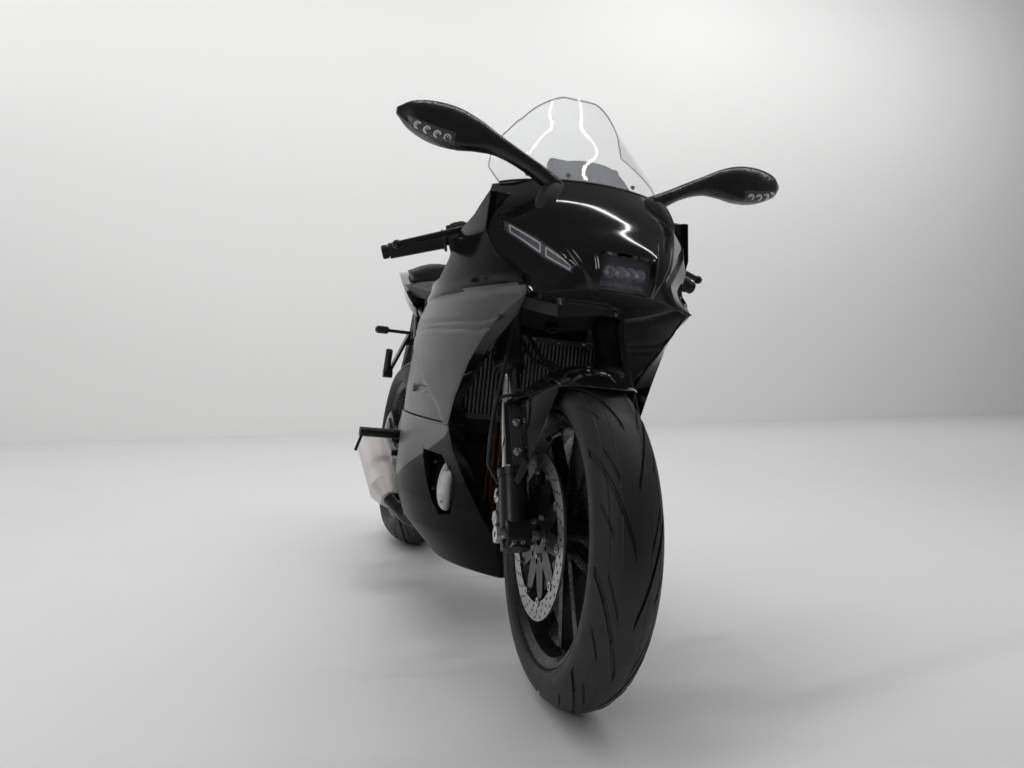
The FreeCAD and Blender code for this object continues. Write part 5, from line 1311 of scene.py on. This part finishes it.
# profiles along the bar: radius, share of the bar's length
GRIP_FLANGE = ((11.4, 0.45), (22, 0.45), (23.5, 0.458), (22, 0.47), (16.5, 0.475))
GRIP_END = ((16.5, 0.958), (15, 0.965), (11.4, 0.965))
BAR_WEIGHT = ((0, 0.97), (13, 0.97), (14.5, 0.99), (14.5, 1.02), (12, 1.03), (0, 1.03))
RIBS = 24
RIB = ((16.6, 0), (16.6, 2.6), (15.2, 3.1), (15.2, 4))


def bar_frame(side, share):
    """Metre frame at a share of a handlebar: Z along the bar, outwards, and X ahead."""
    root, end = [Vector((x, side * y, z)) for x, y, z in (BAR_ROOT, BAR_END)]
    run = (end - root).normalized()
    ahead = square_to(run)
    return FORK @ axes(ahead, run.cross(ahead), run, root.lerp(end, share) / 1000)


def make_grip(side, name):
    """Ribbed grip behind its flange, and the bar's weight."""
    build = Build("grip_" + name, bar_frame(side, 0), "steering", "grip_rubber", "black_alloy")
    flange, end, weight = [[(radius, BAR_LENGTH * share) for radius, share in table]
                           for table in (GRIP_FLANGE, GRIP_END, BAR_WEIGHT)]
    ribs = []
    for k in range(RIBS):
        start = BAR_LENGTH * blend(0.49, 0.955, k / RIBS)
        ribs += [(radius, start + along) for radius, along in RIB]
    build.use("grip_rubber").lathe(flange + ribs + end, axis=UP, segments=36, looped=True)
    build.use("black_alloy").lathe(weight, axis=UP, segments=28)
    build.done(angle=40, replaces=["grips"])


def make_switches(side, name):
    """Switch box with its buttons; only the right one has a red switch."""
    build = Build("switches_" + name, bar_frame(side, SWITCHES_AT), "steering", "matte_black",
                  "red_switch", "cap_silver")
    build.use("matte_black").block((0, 0, -1), (42, 46, 44))
    build.block((4, -side * 20, -4), (30, 14, 30))
    build.block((21, 0, 4), (8, 26, 24))
    if name == "right":
        build.use("red_switch").block((4, 29, -6), (14, 8, 20))
        build.use("cap_silver").block((26, 4, 6), (4, 8, 14))
    else:
        build.use("cap_silver").block((26, 0, 4), (4, 7, 16))
        build.use("matte_black").block((4, -29, -6), (12, 6, 16))
    build.done(bevel=3.5, replaces=["hand_controls"])


# ---------------------------------------------------------------- mirrors

MIRROR = (  # distance out, x, z, half depth, half height
    (94, -14, 924, 22, 20), (125, -12, 943, 18, 16), (165, -20, 966, 16, 15),
    (210, -26, 986, 16, 19), (245, -28, 996, 18, 28), (285, -32, 1002, 25, 37),
    (330, -36, 1007, 28, 36), (368, -41, 1013, 22, 24), (391, -46, 1018, 6, 6))
MIRROR_START = 94
MIRROR_REACH = 297
MIRROR_BOOT = ((2, 122, 858), (4, 118, 880), (-4, 108, 905), (-12, 98, 926), (-14, 104, 936))
REFLECTOR_DOT = ((0, -2), (6.5, -2), (7, 0.5), (4.5, 0.8), (2.5, -1), (0, 0.4))


def mirror_ring(y, side, grow=1.0, arc=None):
    """Ring of the mirror's shell at a distance out; an arc is two shares of the turn."""
    x, z, depth, height = table_at(MIRROR, y)
    head = ease(y, 225, 275)
    power = blend(0.8, 0.55, head)
    shares = [blend(*arc, j / 8) for j in range(9)] if arc else [j / 28 for j in range(28)]
    ring = []
    for share in shares:
        c, s = math.cos(TURN * share), math.sin(TURN * share)
        out = math.copysign(abs(c) ** power, c) * depth - 0.3 * depth * head * s
        rise = math.copysign(abs(s) ** power, s) * height
        ring.append(Vector((x + out * grow, side * y, z + rise * grow)))
    return ring


def boot_radius(share):
    """Radius of the rubber boot at a share of its length."""
    return 13 + 11 * math.sin(math.pi * min(share * 1.15, 1)) ** 0.7


def make_mirror(side, name):
    """Mirror: its shell and boot, the glass behind, and an indicator with four dots ahead."""
    build = Build("mirror_shell_" + name, CHASSIS, "root", "mirror_black", "mirror_glass",
                  "clear_lens", "cap_silver", "grip_rubber")
    build.use("mirror_black").skin(
        [mirror_ring(MIRROR_START + MIRROR_REACH * math.sin(math.pi / 2 * k / 70), side)
         for k in range(71)], closed=True, capped=True)
    for finish, first, last, count, grow, arc in (
            ("mirror_glass", 268, 372, 12, 1.02, (0.44, 0.60)),
            ("clear_lens", 292, 374, 14, 1.035, (-0.17, -0.03))):
        build.use(finish).skin([mirror_ring(blend(first, last, k / count), side, grow, arc)
                                for k in range(count + 1)])
    build.use("cap_silver")
    for y in (306, 324, 342, 358):
        at = mirror_ring(y, side, arc=(-0.13, -0.07))[4]
        build.lathe(REFLECTOR_DOT, at, (1, 0, -0.6), 16)
    build.use("grip_rubber").tube([(x, side * y, z) for x, y, z in MIRROR_BOOT], boot_radius,
                                  20, 24)
    build.done(angle=40, replaces=["mirror_" + name])


# ---------------------------------------------------------------- lamps

REFLECTOR = ((2, 0), (5, 1), (9.6, 7), (11, 16), (10.4, 16), (8.8, 7), (4.4, 2))
BULB = ((0, 8), (3, 7.4), (4.6, 5), (5, 1), (0, 1))
LAMP_VISOR = ((-44, 748), (44, 748), (45, 755), (-45, 755))


def on_line(line, share):
    """Point of a bent line at a share of its count of points."""
    at = share * (len(line) - 1)
    i = min(int(at), len(line) - 2)
    return [blend(p, q, at - i) for p, q in zip(line[i], line[i + 1])]


def slot_point(side, along, across, back):
    """Point of a cheek's light slot at two shares of it, set back into the nose."""
    top, low = on_line(STRIP_TOP, along), on_line(STRIP_LOW, along)
    return cowl_point(side * blend(top[0], low[0], across), blend(top[1], low[1], across), back)


def make_head_lamp():
    """Central lamp: four reflectors in a tunnel behind a clear pane."""
    build = Build("head_lamp", CHASSIS, "root", "clear_lens", "matte_black", "chrome_tube",
                  "lamp_white", "mirror_black")
    build.use("clear_lens").skin(
        [[cowl_point(blend(46, 50, k / 8) * j / 10, blend(740, 800, k / 8), 3)
          for j in range(-10, 11)] for k in range(9)])
    front = [cowl_point(y, z, 3.5) for y, z in LAMP]
    back = [cowl_point(y * 0.9, 770 + (z - 770) * 0.8, 40) for y, z in LAMP]
    build.use("matte_black").skin([front, back], closed=True).patch(back)
    for y in (-34, -11, 12, 35):
        at = cowl_point(y, 772, 26)
        build.use("chrome_tube").lathe(REFLECTOR, at, AHEAD, 24)
        build.use("lamp_white").lathe(BULB, at, AHEAD, 16)
    build.use("mirror_black").prism([cowl_point(y, z, 14) for y, z in LAMP_VISOR], (4, 0, 0))
    build.done(replaces=["headlamps"])


def make_light_bars(side, name):
    """Cheek slot: its clear lens and dark rim, and two boxes framed by light bars."""
    build = Build("light_bars_" + name, CHASSIS, "root", "clear_lens", "lamp_white",
                  "mirror_black")
    rows = [[slot_point(side, k / 30, j / 5, 3.5) for j in range(6)] for k in range(31)]
    build.use("clear_lens").skin(rows)
    for first, last in ((0.08, 0.46), (0.54, 0.92)):
        high, low = [[slot_point(side, blend(first, last, k / 10), across, 8)
                      for k in range(11)] for across in (0.3, 0.75)]
        build.use("lamp_white")
        for path in (high, low, (high[0], low[0]), (high[-1], low[-1])):
            build.tube(path, 1.6, 8)
        build.use("mirror_black").skin([[a.lerp(b, share) - AHEAD * 1.5
                                         for share in (0.12, 0.5, 0.88)]
                                        for a, b in zip(high, low)])
    for k in (0, -1):
        build.tube([row[k] for row in rows], 1.5, 8)
    build.done()


# ---------------------------------------------------------------- trays and dash

TRAY_FRONT = 92
TRAY_REAR = -54
TRAY_HEIGHT = 741
DUCT_X = -338
DUCT_HEIGHTS = (610, 660, 700, 740, 780, 806)
SHROUD_FOOT = 946


def make_tray():
    """Dark tray that closes the nose from below, with a lip near its rear edge."""
    build = Build("nose_tray", CHASSIS, "root", "matte_black")
    rows = []
    for k in range(13):
        x = blend(TRAY_FRONT, TRAY_REAR, k / 12)
        half = blend(118, 92, ease(-x, -60, 40))
        bow = 0.00056 if k else 0.0014
        height = TRAY_HEIGHT - 3 * ease(-x, -TRAY_FRONT, 118)
        rows.append([Vector((x - bow * (half * j / 12) ** 2, half * j / 12,
                             height - 12 * abs(j / 12) ** 3)) for j in range(-12, 13)])
    build.skin(rows)
    build.skin([[point - UP * drop for point in rows[11][6:19]] for drop in (0, 8, 16)])
    build.done(thick=2.5)


def make_duct():
    """Pleated face of the air duct over the radiator."""
    build = Build("air_duct_face", CHASSIS, "root", "matte_black")
    build.skin([[Vector((DUCT_X - 6 * (k % 2), blend(-132, 132, k / 32), z))
                 for k in range(33)] for z in DUCT_HEIGHTS])
    build.done(thick=2)


def make_shroud():
    """Bowed shroud that rises from the screen's foot to the dash."""
    build = Build("dash_shroud", CHASSIS, "root", "matte_black")
    rows = []
    for k in range(25):
        share = k / 24
        half = blend(128, 92, share)
        rise = SHROUD_FOOT + 62 * math.sin(math.pi / 2 * share)
        rows.append([Vector((-30 - 66 * share - 0.0052 * (half * j / 14) ** 2, half * j / 14,
                             rise - (rise - SHROUD_FOOT + 2) * abs(j / 14) ** 4))
                     for j in range(-14, 15)])
    build.skin(rows)
    build.done(thick=2)


def make_instruments():
    """Dark face of the display in its frame."""
    matrix = (CHASSIS @ Matrix.Translation(Vector((-115, 0, 975)) / 1000)
              @ Matrix.Rotation(math.radians(-28), 4, "Y"))
    build = Build("instrument_face", matrix, "root", "mirror_black", "matte_black")
    build.use("matte_black").block((-11, 0, 0), (5, 146, 80))
    build.use("mirror_black").block((-14, 0, 2), (2, 132, 66))
    build.done(bevel=1)


def make_indicator_lenses():
    """Amber lenses of the rear indicators."""
    build = Build("indicator_lenses", CHASSIS, "root", "amber_lens")
    for side in (-1, 1):
        build.block((-1606.5, side * 134, 722), (3, 36, 16))
    build.done(bevel=1.2)


# ---------------------------------------------------------------- engine and radiator

CLUTCH_GUARD = ((-318, -150, 392), (-330, -158, 372), (-352, -158, 335), (-378, -150, 298),
                (-394, -140, 276))
COVERS = (  # centre x and z, radius of the bolt circle, distance out, side
    ((-514, 345), 79, 162, -1), ((-520, 340), 67, 162, 1), ((-620, 318), 45, 156, -1))
COVER_BOLTS = 8
OIL_FILLER = ((0, 0), (15, 0), (15, 8), (12, 10), (12, 16), (0, 17))
HOSES = (  # points of the path, radius; the two wide ones have clips
    (((-345, -120, 640), (-400, -128, 610), (-470, -120, 560), (-480, -90, 520)), 14),
    (((-345, 130, 470), (-380, 140, 420), (-430, 140, 370), (-470, 120, 330)), 14),
    (((-330, -62, 674), (-296, -52, 678), (-262, -44, 656), (-252, -24, 625),
      (-262, 18, 610), (-296, 60, 600), (-326, 88, 592)), 4.5),
    (((-330, -40, 674), (-300, -30, 682), (-266, -22, 660), (-256, -2, 630),
      (-266, 40, 614), (-300, 82, 604), (-326, 108, 596)), 4.5))
WIDE_HOSE = 8
CORE_X = -335
CORE_Z = 580.5
FINS = 32


def guard_radius(share):
    """Radius of the clutch guard at a share of its length, blunt at both ends."""
    return 18 * max(math.sin(math.pi * share), 0.02) ** 0.35


def make_engine_bits():
    """Bolts round the covers, the bright clutch guard and an oil filler."""
    build = Build("engine_fittings", CHASSIS, "root", "cover_alloy", "axle_steel",
                  "matte_black", "black_alloy")
    build.use("cover_alloy").tube(CLUTCH_GUARD, guard_radius, 24, 30)
    build.use("axle_steel")
    for at in CLUTCH_GUARD[1::2]:
        build.bolt(Vector(at) + Vector((15, -10, 0)), (1, -0.7, 0), 4)
    for centre, radius, y, side in COVERS:
        for k in range(COVER_BOLTS):
            at = on_circle(radius, TURN * (k + 0.5) / COVER_BOLTS, side * y, centre)
            build.bolt(at, LEFT * side, 4.5)
    build.use("matte_black").lathe(OIL_FILLER, (-560, -160, 425), (0, -1, 0.4), 24)
    build.done(bevel=0.5)


def make_hoses():
    """Coolant hoses with their clips, and two small hoses across the radiator."""
    build = Build("coolant_hoses", CHASSIS, "root", "grip_rubber", "axle_steel")
    for path, radius in HOSES:
        build.use("grip_rubber").tube(path, radius, 14, 30)
        if radius < WIDE_HOSE:
            continue
        for share in (0.08, 0.92):
            run = curve_at(path, share + 0.03) - curve_at(path, share - 0.03)
            build.use("axle_steel").lathe(
                ((radius - 1, -4), (radius + 1.4, -4), (radius + 1.4, 4), (radius - 1, 4)),
                curve_at(path, share), run, 24, looped=True)
    build.done()


def make_radiator():
    """Finned core between side tanks and rails, with its two lugs."""
    build = Build("radiator_core", CHASSIS, "root", "radiator_alloy", "fin_alloy",
                  "matte_black", "axle_steel")
    build.use("matte_black").block((CORE_X - 3, 0, CORE_Z), (16, 300, 172))
    build.use("fin_alloy")
    for k in range(FINS):
        build.block((CORE_X + 8, 9 * (k - (FINS - 1) / 2), CORE_Z), (8, 3.2, 170))
    build.use("radiator_alloy")
    for side in (-1, 1):
        build.block((CORE_X, side * 156, CORE_Z), (26, 20, 191))
        build.block((CORE_X - 38, side * 96, 679), (50, 14, 34))
    for z in (491, 670):
        build.block((CORE_X, 0, z), (26, 300, 12))
    build.use("axle_steel")
    for y in (-120, -60, 0, 60, 120):
        build.bolt((CORE_X + 12.5, y, 670), AHEAD, 3)
    build.done(bevel=0.8, replaces=["radiator"])


# ---------------------------------------------------------------- stage

# camera: turn, pitch and roll in degrees, and its place in metres
CAMERA_ANGLES = (161.83, -1.60, -0.10)
CAMERA_PLACE = (2.1192, -0.6491, 0.6193)
SENSOR_WIDTH = 36
SKY_COLOUR = (0.92, 0.93, 0.95, 1)
# corners, in metres
FLOOR = ((-40, -40, 0), (14, -40, 0), (14, 40, 0), (-40, 40, 0))
BACK_WALL = ((-5, -12, -0.01), (-5, 12, -0.01), (-5, 12, 6), (-5, -12, 6))
LIGHTS = (  # name, place, aim, size, power, whether gloss mirrors it
    ("tube_left", (0.6, 1.3, 3.3), (0.3, 0.4, 0), (0.05, 4.5), 40, True),
    ("tube_right", (0.6, -1.5, 3.3), (0.3, -0.4, 0), (0.05, 4.5), 40, False),
    ("wash_left", (-2.6, 5.0, 4.6), (-5, 5.5, 1.2), (5, 0.8), 95, False),
    ("wash_middle", (-2.6, 0, 4.6), (-5, 0, 1.2), (5, 0.8), 85, False),
    ("wash_right", (-2.6, -5.0, 4.6), (-5, -5.5, 1.2), (5, 0.8), 95, False),
    ("ceiling", (-0.4, 0, 3.8), (-0.4, 0, 0), (3, 4), 50, False),
    ("key", (2.4, -3.4, 2.2), (-0.2, 0, 0.6), (1.2, 0.5), 20, True))


def area_light(name, location, aim, size, power, mirrored):
    """Rectangular light; one that isn't mirrored leaves no highlight on gloss."""
    data = bpy.data.lights.new(name, "AREA")
    data.shape = "RECTANGLE"
    data.size, data.size_y = size
    data.energy = power
    light = bpy.data.objects.new(name, data)
    light.visible_glossy = mirrored
    bpy.context.scene.collection.objects.link(light)
    light.location = location
    light.rotation_euler = (Vector(aim) - Vector(location)).to_track_quat("-Z", "Y").to_euler()


def make_camera(lens):
    """Camera on the machine's right, in front of it and at the height of its nose."""
    data = bpy.data.cameras.new("camera")
    data.lens = lens
    data.sensor_width = SENSOR_WIDTH
    camera = bpy.data.objects.new("camera", data)
    bpy.context.scene.collection.objects.link(camera)
    yaw, pitch, roll = [math.radians(angle) for angle in CAMERA_ANGLES]
    forward = Vector((math.cos(pitch) * math.cos(yaw), math.cos(pitch) * math.sin(yaw),
                      math.sin(pitch)))
    right = forward.cross(UP).normalized()
    up = right.cross(forward)
    right, up = (right * math.cos(roll) + up * math.sin(roll),
                 up * math.cos(roll) - right * math.sin(roll))
    camera.matrix_world = axes(right, up, -forward, Vector(CAMERA_PLACE))
    bpy.context.scene.camera = camera


def stage_sheet(name, material, corners, colour, dim, scale, roughness):
    """One flat sheet of the stage, its colour dimmed in faint clouds."""
    finish = Finish(material).set(roughness=roughness)
    finish.colour(finish.noise(scale), tint(colour, dim), tint(colour, 1))
    mesh = bpy.data.meshes.new(name)
    mesh.from_pydata([Vector(corner) for corner in corners], [], [(0, 1, 2, 3)])
    mesh.materials.append(finish.material)
    obj = bpy.data.objects.new(name, mesh)
    bpy.context.scene.collection.objects.link(obj)


def make_world(stage):
    """Even light from all round, and the wall's colour wherever the camera sees past it."""
    world = bpy.data.worlds.new("studio")
    world.use_nodes = True
    nodes, links = world.node_tree.nodes, world.node_tree.links
    back = nodes["Background"]
    back.inputs["Color"].default_value = SKY_COLOUR
    back.inputs["Strength"].default_value = stage.ambient
    seen = nodes.new("ShaderNodeBackground")
    seen.inputs["Color"].default_value = (*stage.wall_colour, 1)
    mixed = nodes.new("ShaderNodeMixShader")
    path = nodes.new("ShaderNodeLightPath")
    links.new(path.outputs["Is Camera Ray"], mixed.inputs["Fac"])
    links.new(back.outputs["Background"], mixed.inputs[1])
    links.new(seen.outputs["Background"], mixed.inputs[2])
    links.new(mixed.outputs["Shader"], nodes["World Output"].inputs["Surface"])
    bpy.context.scene.world = world


def make_stage(stage):
    """Camera, floor, wall, world and lights."""
    bpy.context.scene.view_settings.view_transform = "Standard"
    make_camera(stage.lens)
    stage_sheet("floor", "pale_floor", FLOOR, stage.floor_colour, 0.98, 2.5, 0.55)
    stage_sheet("back_wall", "pale_wall", BACK_WALL, stage.wall_colour, 0.99, 0.6, 0.9)
    make_world(stage)
    for row in LIGHTS:
        area_light(*row)


# ---------------------------------------------------------------- settings


class SportBikeLook(bpy.types.PropertyGroup):
    """Colours of the finishes, and the sizes of details."""
    lacquer_colour: bpy.props.FloatVectorProperty(
        name="Lacquer", description="Gloss paint of the cowl, tank and mudguard", size=3,
        subtype="COLOR", default=(0.006, 0.006, 0.007), min=0, max=1)
    panel_colour: bpy.props.FloatVectorProperty(
        name="Panels", description="Satin paint of the side fairings", size=3,
        subtype="COLOR", default=(0.05, 0.05, 0.053), min=0, max=1)
    rubber_colour: bpy.props.FloatVectorProperty(
        name="Rubber", description="Rubber of the tyres", size=3, subtype="COLOR",
        default=(0.009, 0.009, 0.01), min=0, max=1)
    muffler_colour: bpy.props.FloatVectorProperty(
        name="Muffler", description="Bare metal of the muffler", size=3, subtype="COLOR",
        default=(0.66, 0.64, 0.61), min=0, max=1)
    panel_wall: bpy.props.FloatProperty(
        name="Panel Wall", description="Wall thickness of the fairing's panels",
        default=0.003, min=0.001, max=0.006, precision=4, unit="LENGTH")
    swage_depth: bpy.props.FloatProperty(
        name="Swage Depth", description="Depth of the two lines along each side fairing",
        default=0.0016, min=0, max=0.005, precision=4, unit="LENGTH")
    seam_depth: bpy.props.FloatProperty(
        name="Seam Depth", description="Depth of the sewn channels across the seat pads",
        default=0.0032, min=0, max=0.01, precision=4, unit="LENGTH")
    screen_wall: bpy.props.FloatProperty(
        name="Screen Wall", description="Thickness of the clear screen",
        default=0.0026, min=0.001, max=0.006, precision=4, unit="LENGTH")


class SportBikeStage(bpy.types.PropertyGroup):
    """Camera and surroundings."""
    lens: bpy.props.FloatProperty(
        name="Lens", description="Focal length of the camera, in millimetres",
        default=28.955, min=10, max=200)
    floor_colour: bpy.props.FloatVectorProperty(
        name="Floor", description="Colour of the floor", size=3, subtype="COLOR",
        default=(0.62, 0.62, 0.62), min=0, max=1)
    ambient: bpy.props.FloatProperty(
        name="Ambient", description="Strength of the even light from all round",
        default=0.16, min=0, max=2)
    wall_colour: bpy.props.FloatVectorProperty(
        name="Wall", description="Colour of the wall behind", size=3, subtype="COLOR",
        default=(0.8, 0.8, 0.79), min=0, max=1)


class SPORTBIKE_OT_finishes(bpy.types.Operator):
    """Makes the materials and dresses every node of the frame"""
    bl_idname = "sportbike.finishes"
    bl_label = "Finishes"

    def execute(self, context):
        make_finishes(context.scene.sportbike_look)
        dress_nodes()
        return {"FINISHED"}


class SPORTBIKE_OT_wheels(bpy.types.Operator):
    """Makes the tyres, brake discs and tyre valves"""
    bl_idname = "sportbike.wheels"
    bl_label = "Wheels"

    def execute(self, context):
        for row in TYRES:
            make_tyre(*row)
        make_discs()
        make_valves()
        return {"FINISHED"}


class SPORTBIKE_OT_mudguard(bpy.types.Operator):
    """Makes the front mudguard"""
    bl_idname = "sportbike.mudguard"
    bl_label = "Mudguard"

    def execute(self, context):
        make_mudguard()
        return {"FINISHED"}


class SPORTBIKE_OT_nose(bpy.types.Operator):
    """Makes the nose fairing and the strips that close its seams"""
    bl_idname = "sportbike.nose"
    bl_label = "Nose"

    def execute(self, context):
        make_cowl_strips()
        make_cowl(context.scene.sportbike_look)
        return {"FINISHED"}


class SPORTBIKE_OT_side_fairings(bpy.types.Operator):
    """Makes the left and right side fairings"""
    bl_idname = "sportbike.side_fairings"
    bl_label = "Side Fairings"

    def execute(self, context):
        for side, name in SIDES:
            make_side_panel("fairing_" + name, "side_fairing_" + name, side,
                            context.scene.sportbike_look)
        return {"FINISHED"}


class SPORTBIKE_OT_belly(bpy.types.Operator):
    """Makes the belly pan and its slats"""
    bl_idname = "sportbike.belly"
    bl_label = "Belly Pan"

    def execute(self, context):
        make_belly(context.scene.sportbike_look)
        return {"FINISHED"}


class SPORTBIKE_OT_screen(bpy.types.Operator):
    """Makes the windscreen with its edge strip and rim"""
    bl_idname = "sportbike.screen"
    bl_label = "Screen"

    def execute(self, context):
        make_screen(context.scene.sportbike_look)
        return {"FINISHED"}


class SPORTBIKE_OT_tank(bpy.types.Operator):
    """Makes the fuel tank and its filler cap"""
    bl_idname = "sportbike.tank"
    bl_label = "Tank"

    def execute(self, context):
        make_tank()
        make_cap()
        return {"FINISHED"}


class SPORTBIKE_OT_seats(bpy.types.Operator):
    """Makes the two seat pads and their piping"""
    bl_idname = "sportbike.seats"
    bl_label = "Seats"

    def execute(self, context):
        for name, node, table, seams in PADS:
            make_pad(name, node, table, seams, context.scene.sportbike_look)
            make_piping(name, table)
        return {"FINISHED"}


class SPORTBIKE_OT_tail(bpy.types.Operator):
    """Makes the tail shell and the rear lamp"""
    bl_idname = "sportbike.tail"
    bl_label = "Tail"

    def execute(self, context):
        make_tail()
        make_tail_lamp()
        return {"FINISHED"}


class SPORTBIKE_OT_fork(bpy.types.Operator):
    """Makes the clamps, bolts and collars on the fork"""
    bl_idname = "sportbike.fork"
    bl_label = "Fork"

    def execute(self, context):
        make_fork_fittings()
        return {"FINISHED"}


class SPORTBIKE_OT_controls(bpy.types.Operator):
    """Makes the grips and the switch housings"""
    bl_idname = "sportbike.controls"
    bl_label = "Controls"

    def execute(self, context):
        for side, name in SIDES:
            make_grip(side, name)
            make_switches(side, name)
        return {"FINISHED"}


class SPORTBIKE_OT_mirrors(bpy.types.Operator):
    """Makes the two mirrors"""
    bl_idname = "sportbike.mirrors"
    bl_label = "Mirrors"

    def execute(self, context):
        for side, name in SIDES:
            make_mirror(side, name)
        return {"FINISHED"}


class SPORTBIKE_OT_lamps(bpy.types.Operator):
    """Makes the head lamp and the light bars"""
    bl_idname = "sportbike.lamps"
    bl_label = "Lamps"

    def execute(self, context):
        make_head_lamp()
        for side, name in SIDES:
            make_light_bars(side, name)
        return {"FINISHED"}


class SPORTBIKE_OT_tray(bpy.types.Operator):
    """Makes the tray under the nose, the duct face and the shroud"""
    bl_idname = "sportbike.tray"
    bl_label = "Trays"

    def execute(self, context):
        make_tray()
        make_duct()
        make_shroud()
        return {"FINISHED"}


class SPORTBIKE_OT_engine(bpy.types.Operator):
    """Makes the fittings, hoses and radiator of the engine"""
    bl_idname = "sportbike.engine"
    bl_label = "Engine"

    def execute(self, context):
        make_engine_bits()
        make_hoses()
        make_radiator()
        return {"FINISHED"}


class SPORTBIKE_OT_small_parts(bpy.types.Operator):
    """Makes the instrument face and the indicator lenses"""
    bl_idname = "sportbike.small_parts"
    bl_label = "Small Parts"

    def execute(self, context):
        make_instruments()
        make_indicator_lenses()
        return {"FINISHED"}


class SPORTBIKE_OT_stage(bpy.types.Operator):
    """Makes the camera, floor, wall and lights"""
    bl_idname = "sportbike.stage"
    bl_label = "Stage"

    def execute(self, context):
        make_stage(context.scene.sportbike_stage)
        return {"FINISHED"}


OPERATORS = (SPORTBIKE_OT_finishes, SPORTBIKE_OT_wheels, SPORTBIKE_OT_mudguard,
             SPORTBIKE_OT_nose, SPORTBIKE_OT_side_fairings, SPORTBIKE_OT_belly,
             SPORTBIKE_OT_screen, SPORTBIKE_OT_tank, SPORTBIKE_OT_seats, SPORTBIKE_OT_tail,
             SPORTBIKE_OT_fork, SPORTBIKE_OT_controls, SPORTBIKE_OT_mirrors,
             SPORTBIKE_OT_lamps, SPORTBIKE_OT_tray, SPORTBIKE_OT_engine,
             SPORTBIKE_OT_small_parts, SPORTBIKE_OT_stage)


class SPORTBIKE_PT_panel(bpy.types.Panel):
    """Lists the pieces and their settings"""
    bl_idname = "SPORTBIKE_PT_panel"
    bl_label = "Sport Bike"
    bl_space_type = "VIEW_3D"
    bl_region_type = "UI"
    bl_category = "Sport Bike"

    def draw(self, context):
        for group in (context.scene.sportbike_look, context.scene.sportbike_stage):
            for name in group.bl_rna.properties.keys():
                if name not in ("rna_type", "name"):
                    self.layout.prop(group, name)
        for operator in OPERATORS:
            self.layout.operator(operator.bl_idname)


CLASSES = (SportBikeLook, SportBikeStage) + OPERATORS + (SPORTBIKE_PT_panel,)


def register():
    for item in CLASSES:
        bpy.utils.register_class(item)
    bpy.types.Scene.sportbike_look = bpy.props.PointerProperty(type=SportBikeLook)
    bpy.types.Scene.sportbike_stage = bpy.props.PointerProperty(type=SportBikeStage)


def unregister():
    del bpy.types.Scene.sportbike_stage
    del bpy.types.Scene.sportbike_look
    for item in reversed(CLASSES):
        bpy.utils.unregister_class(item)


def main():
    register()
    for operator in OPERATORS:
        getattr(bpy.ops.sportbike, operator.bl_idname.split(".")[1])()


if __name__ == "__main__":
    main()
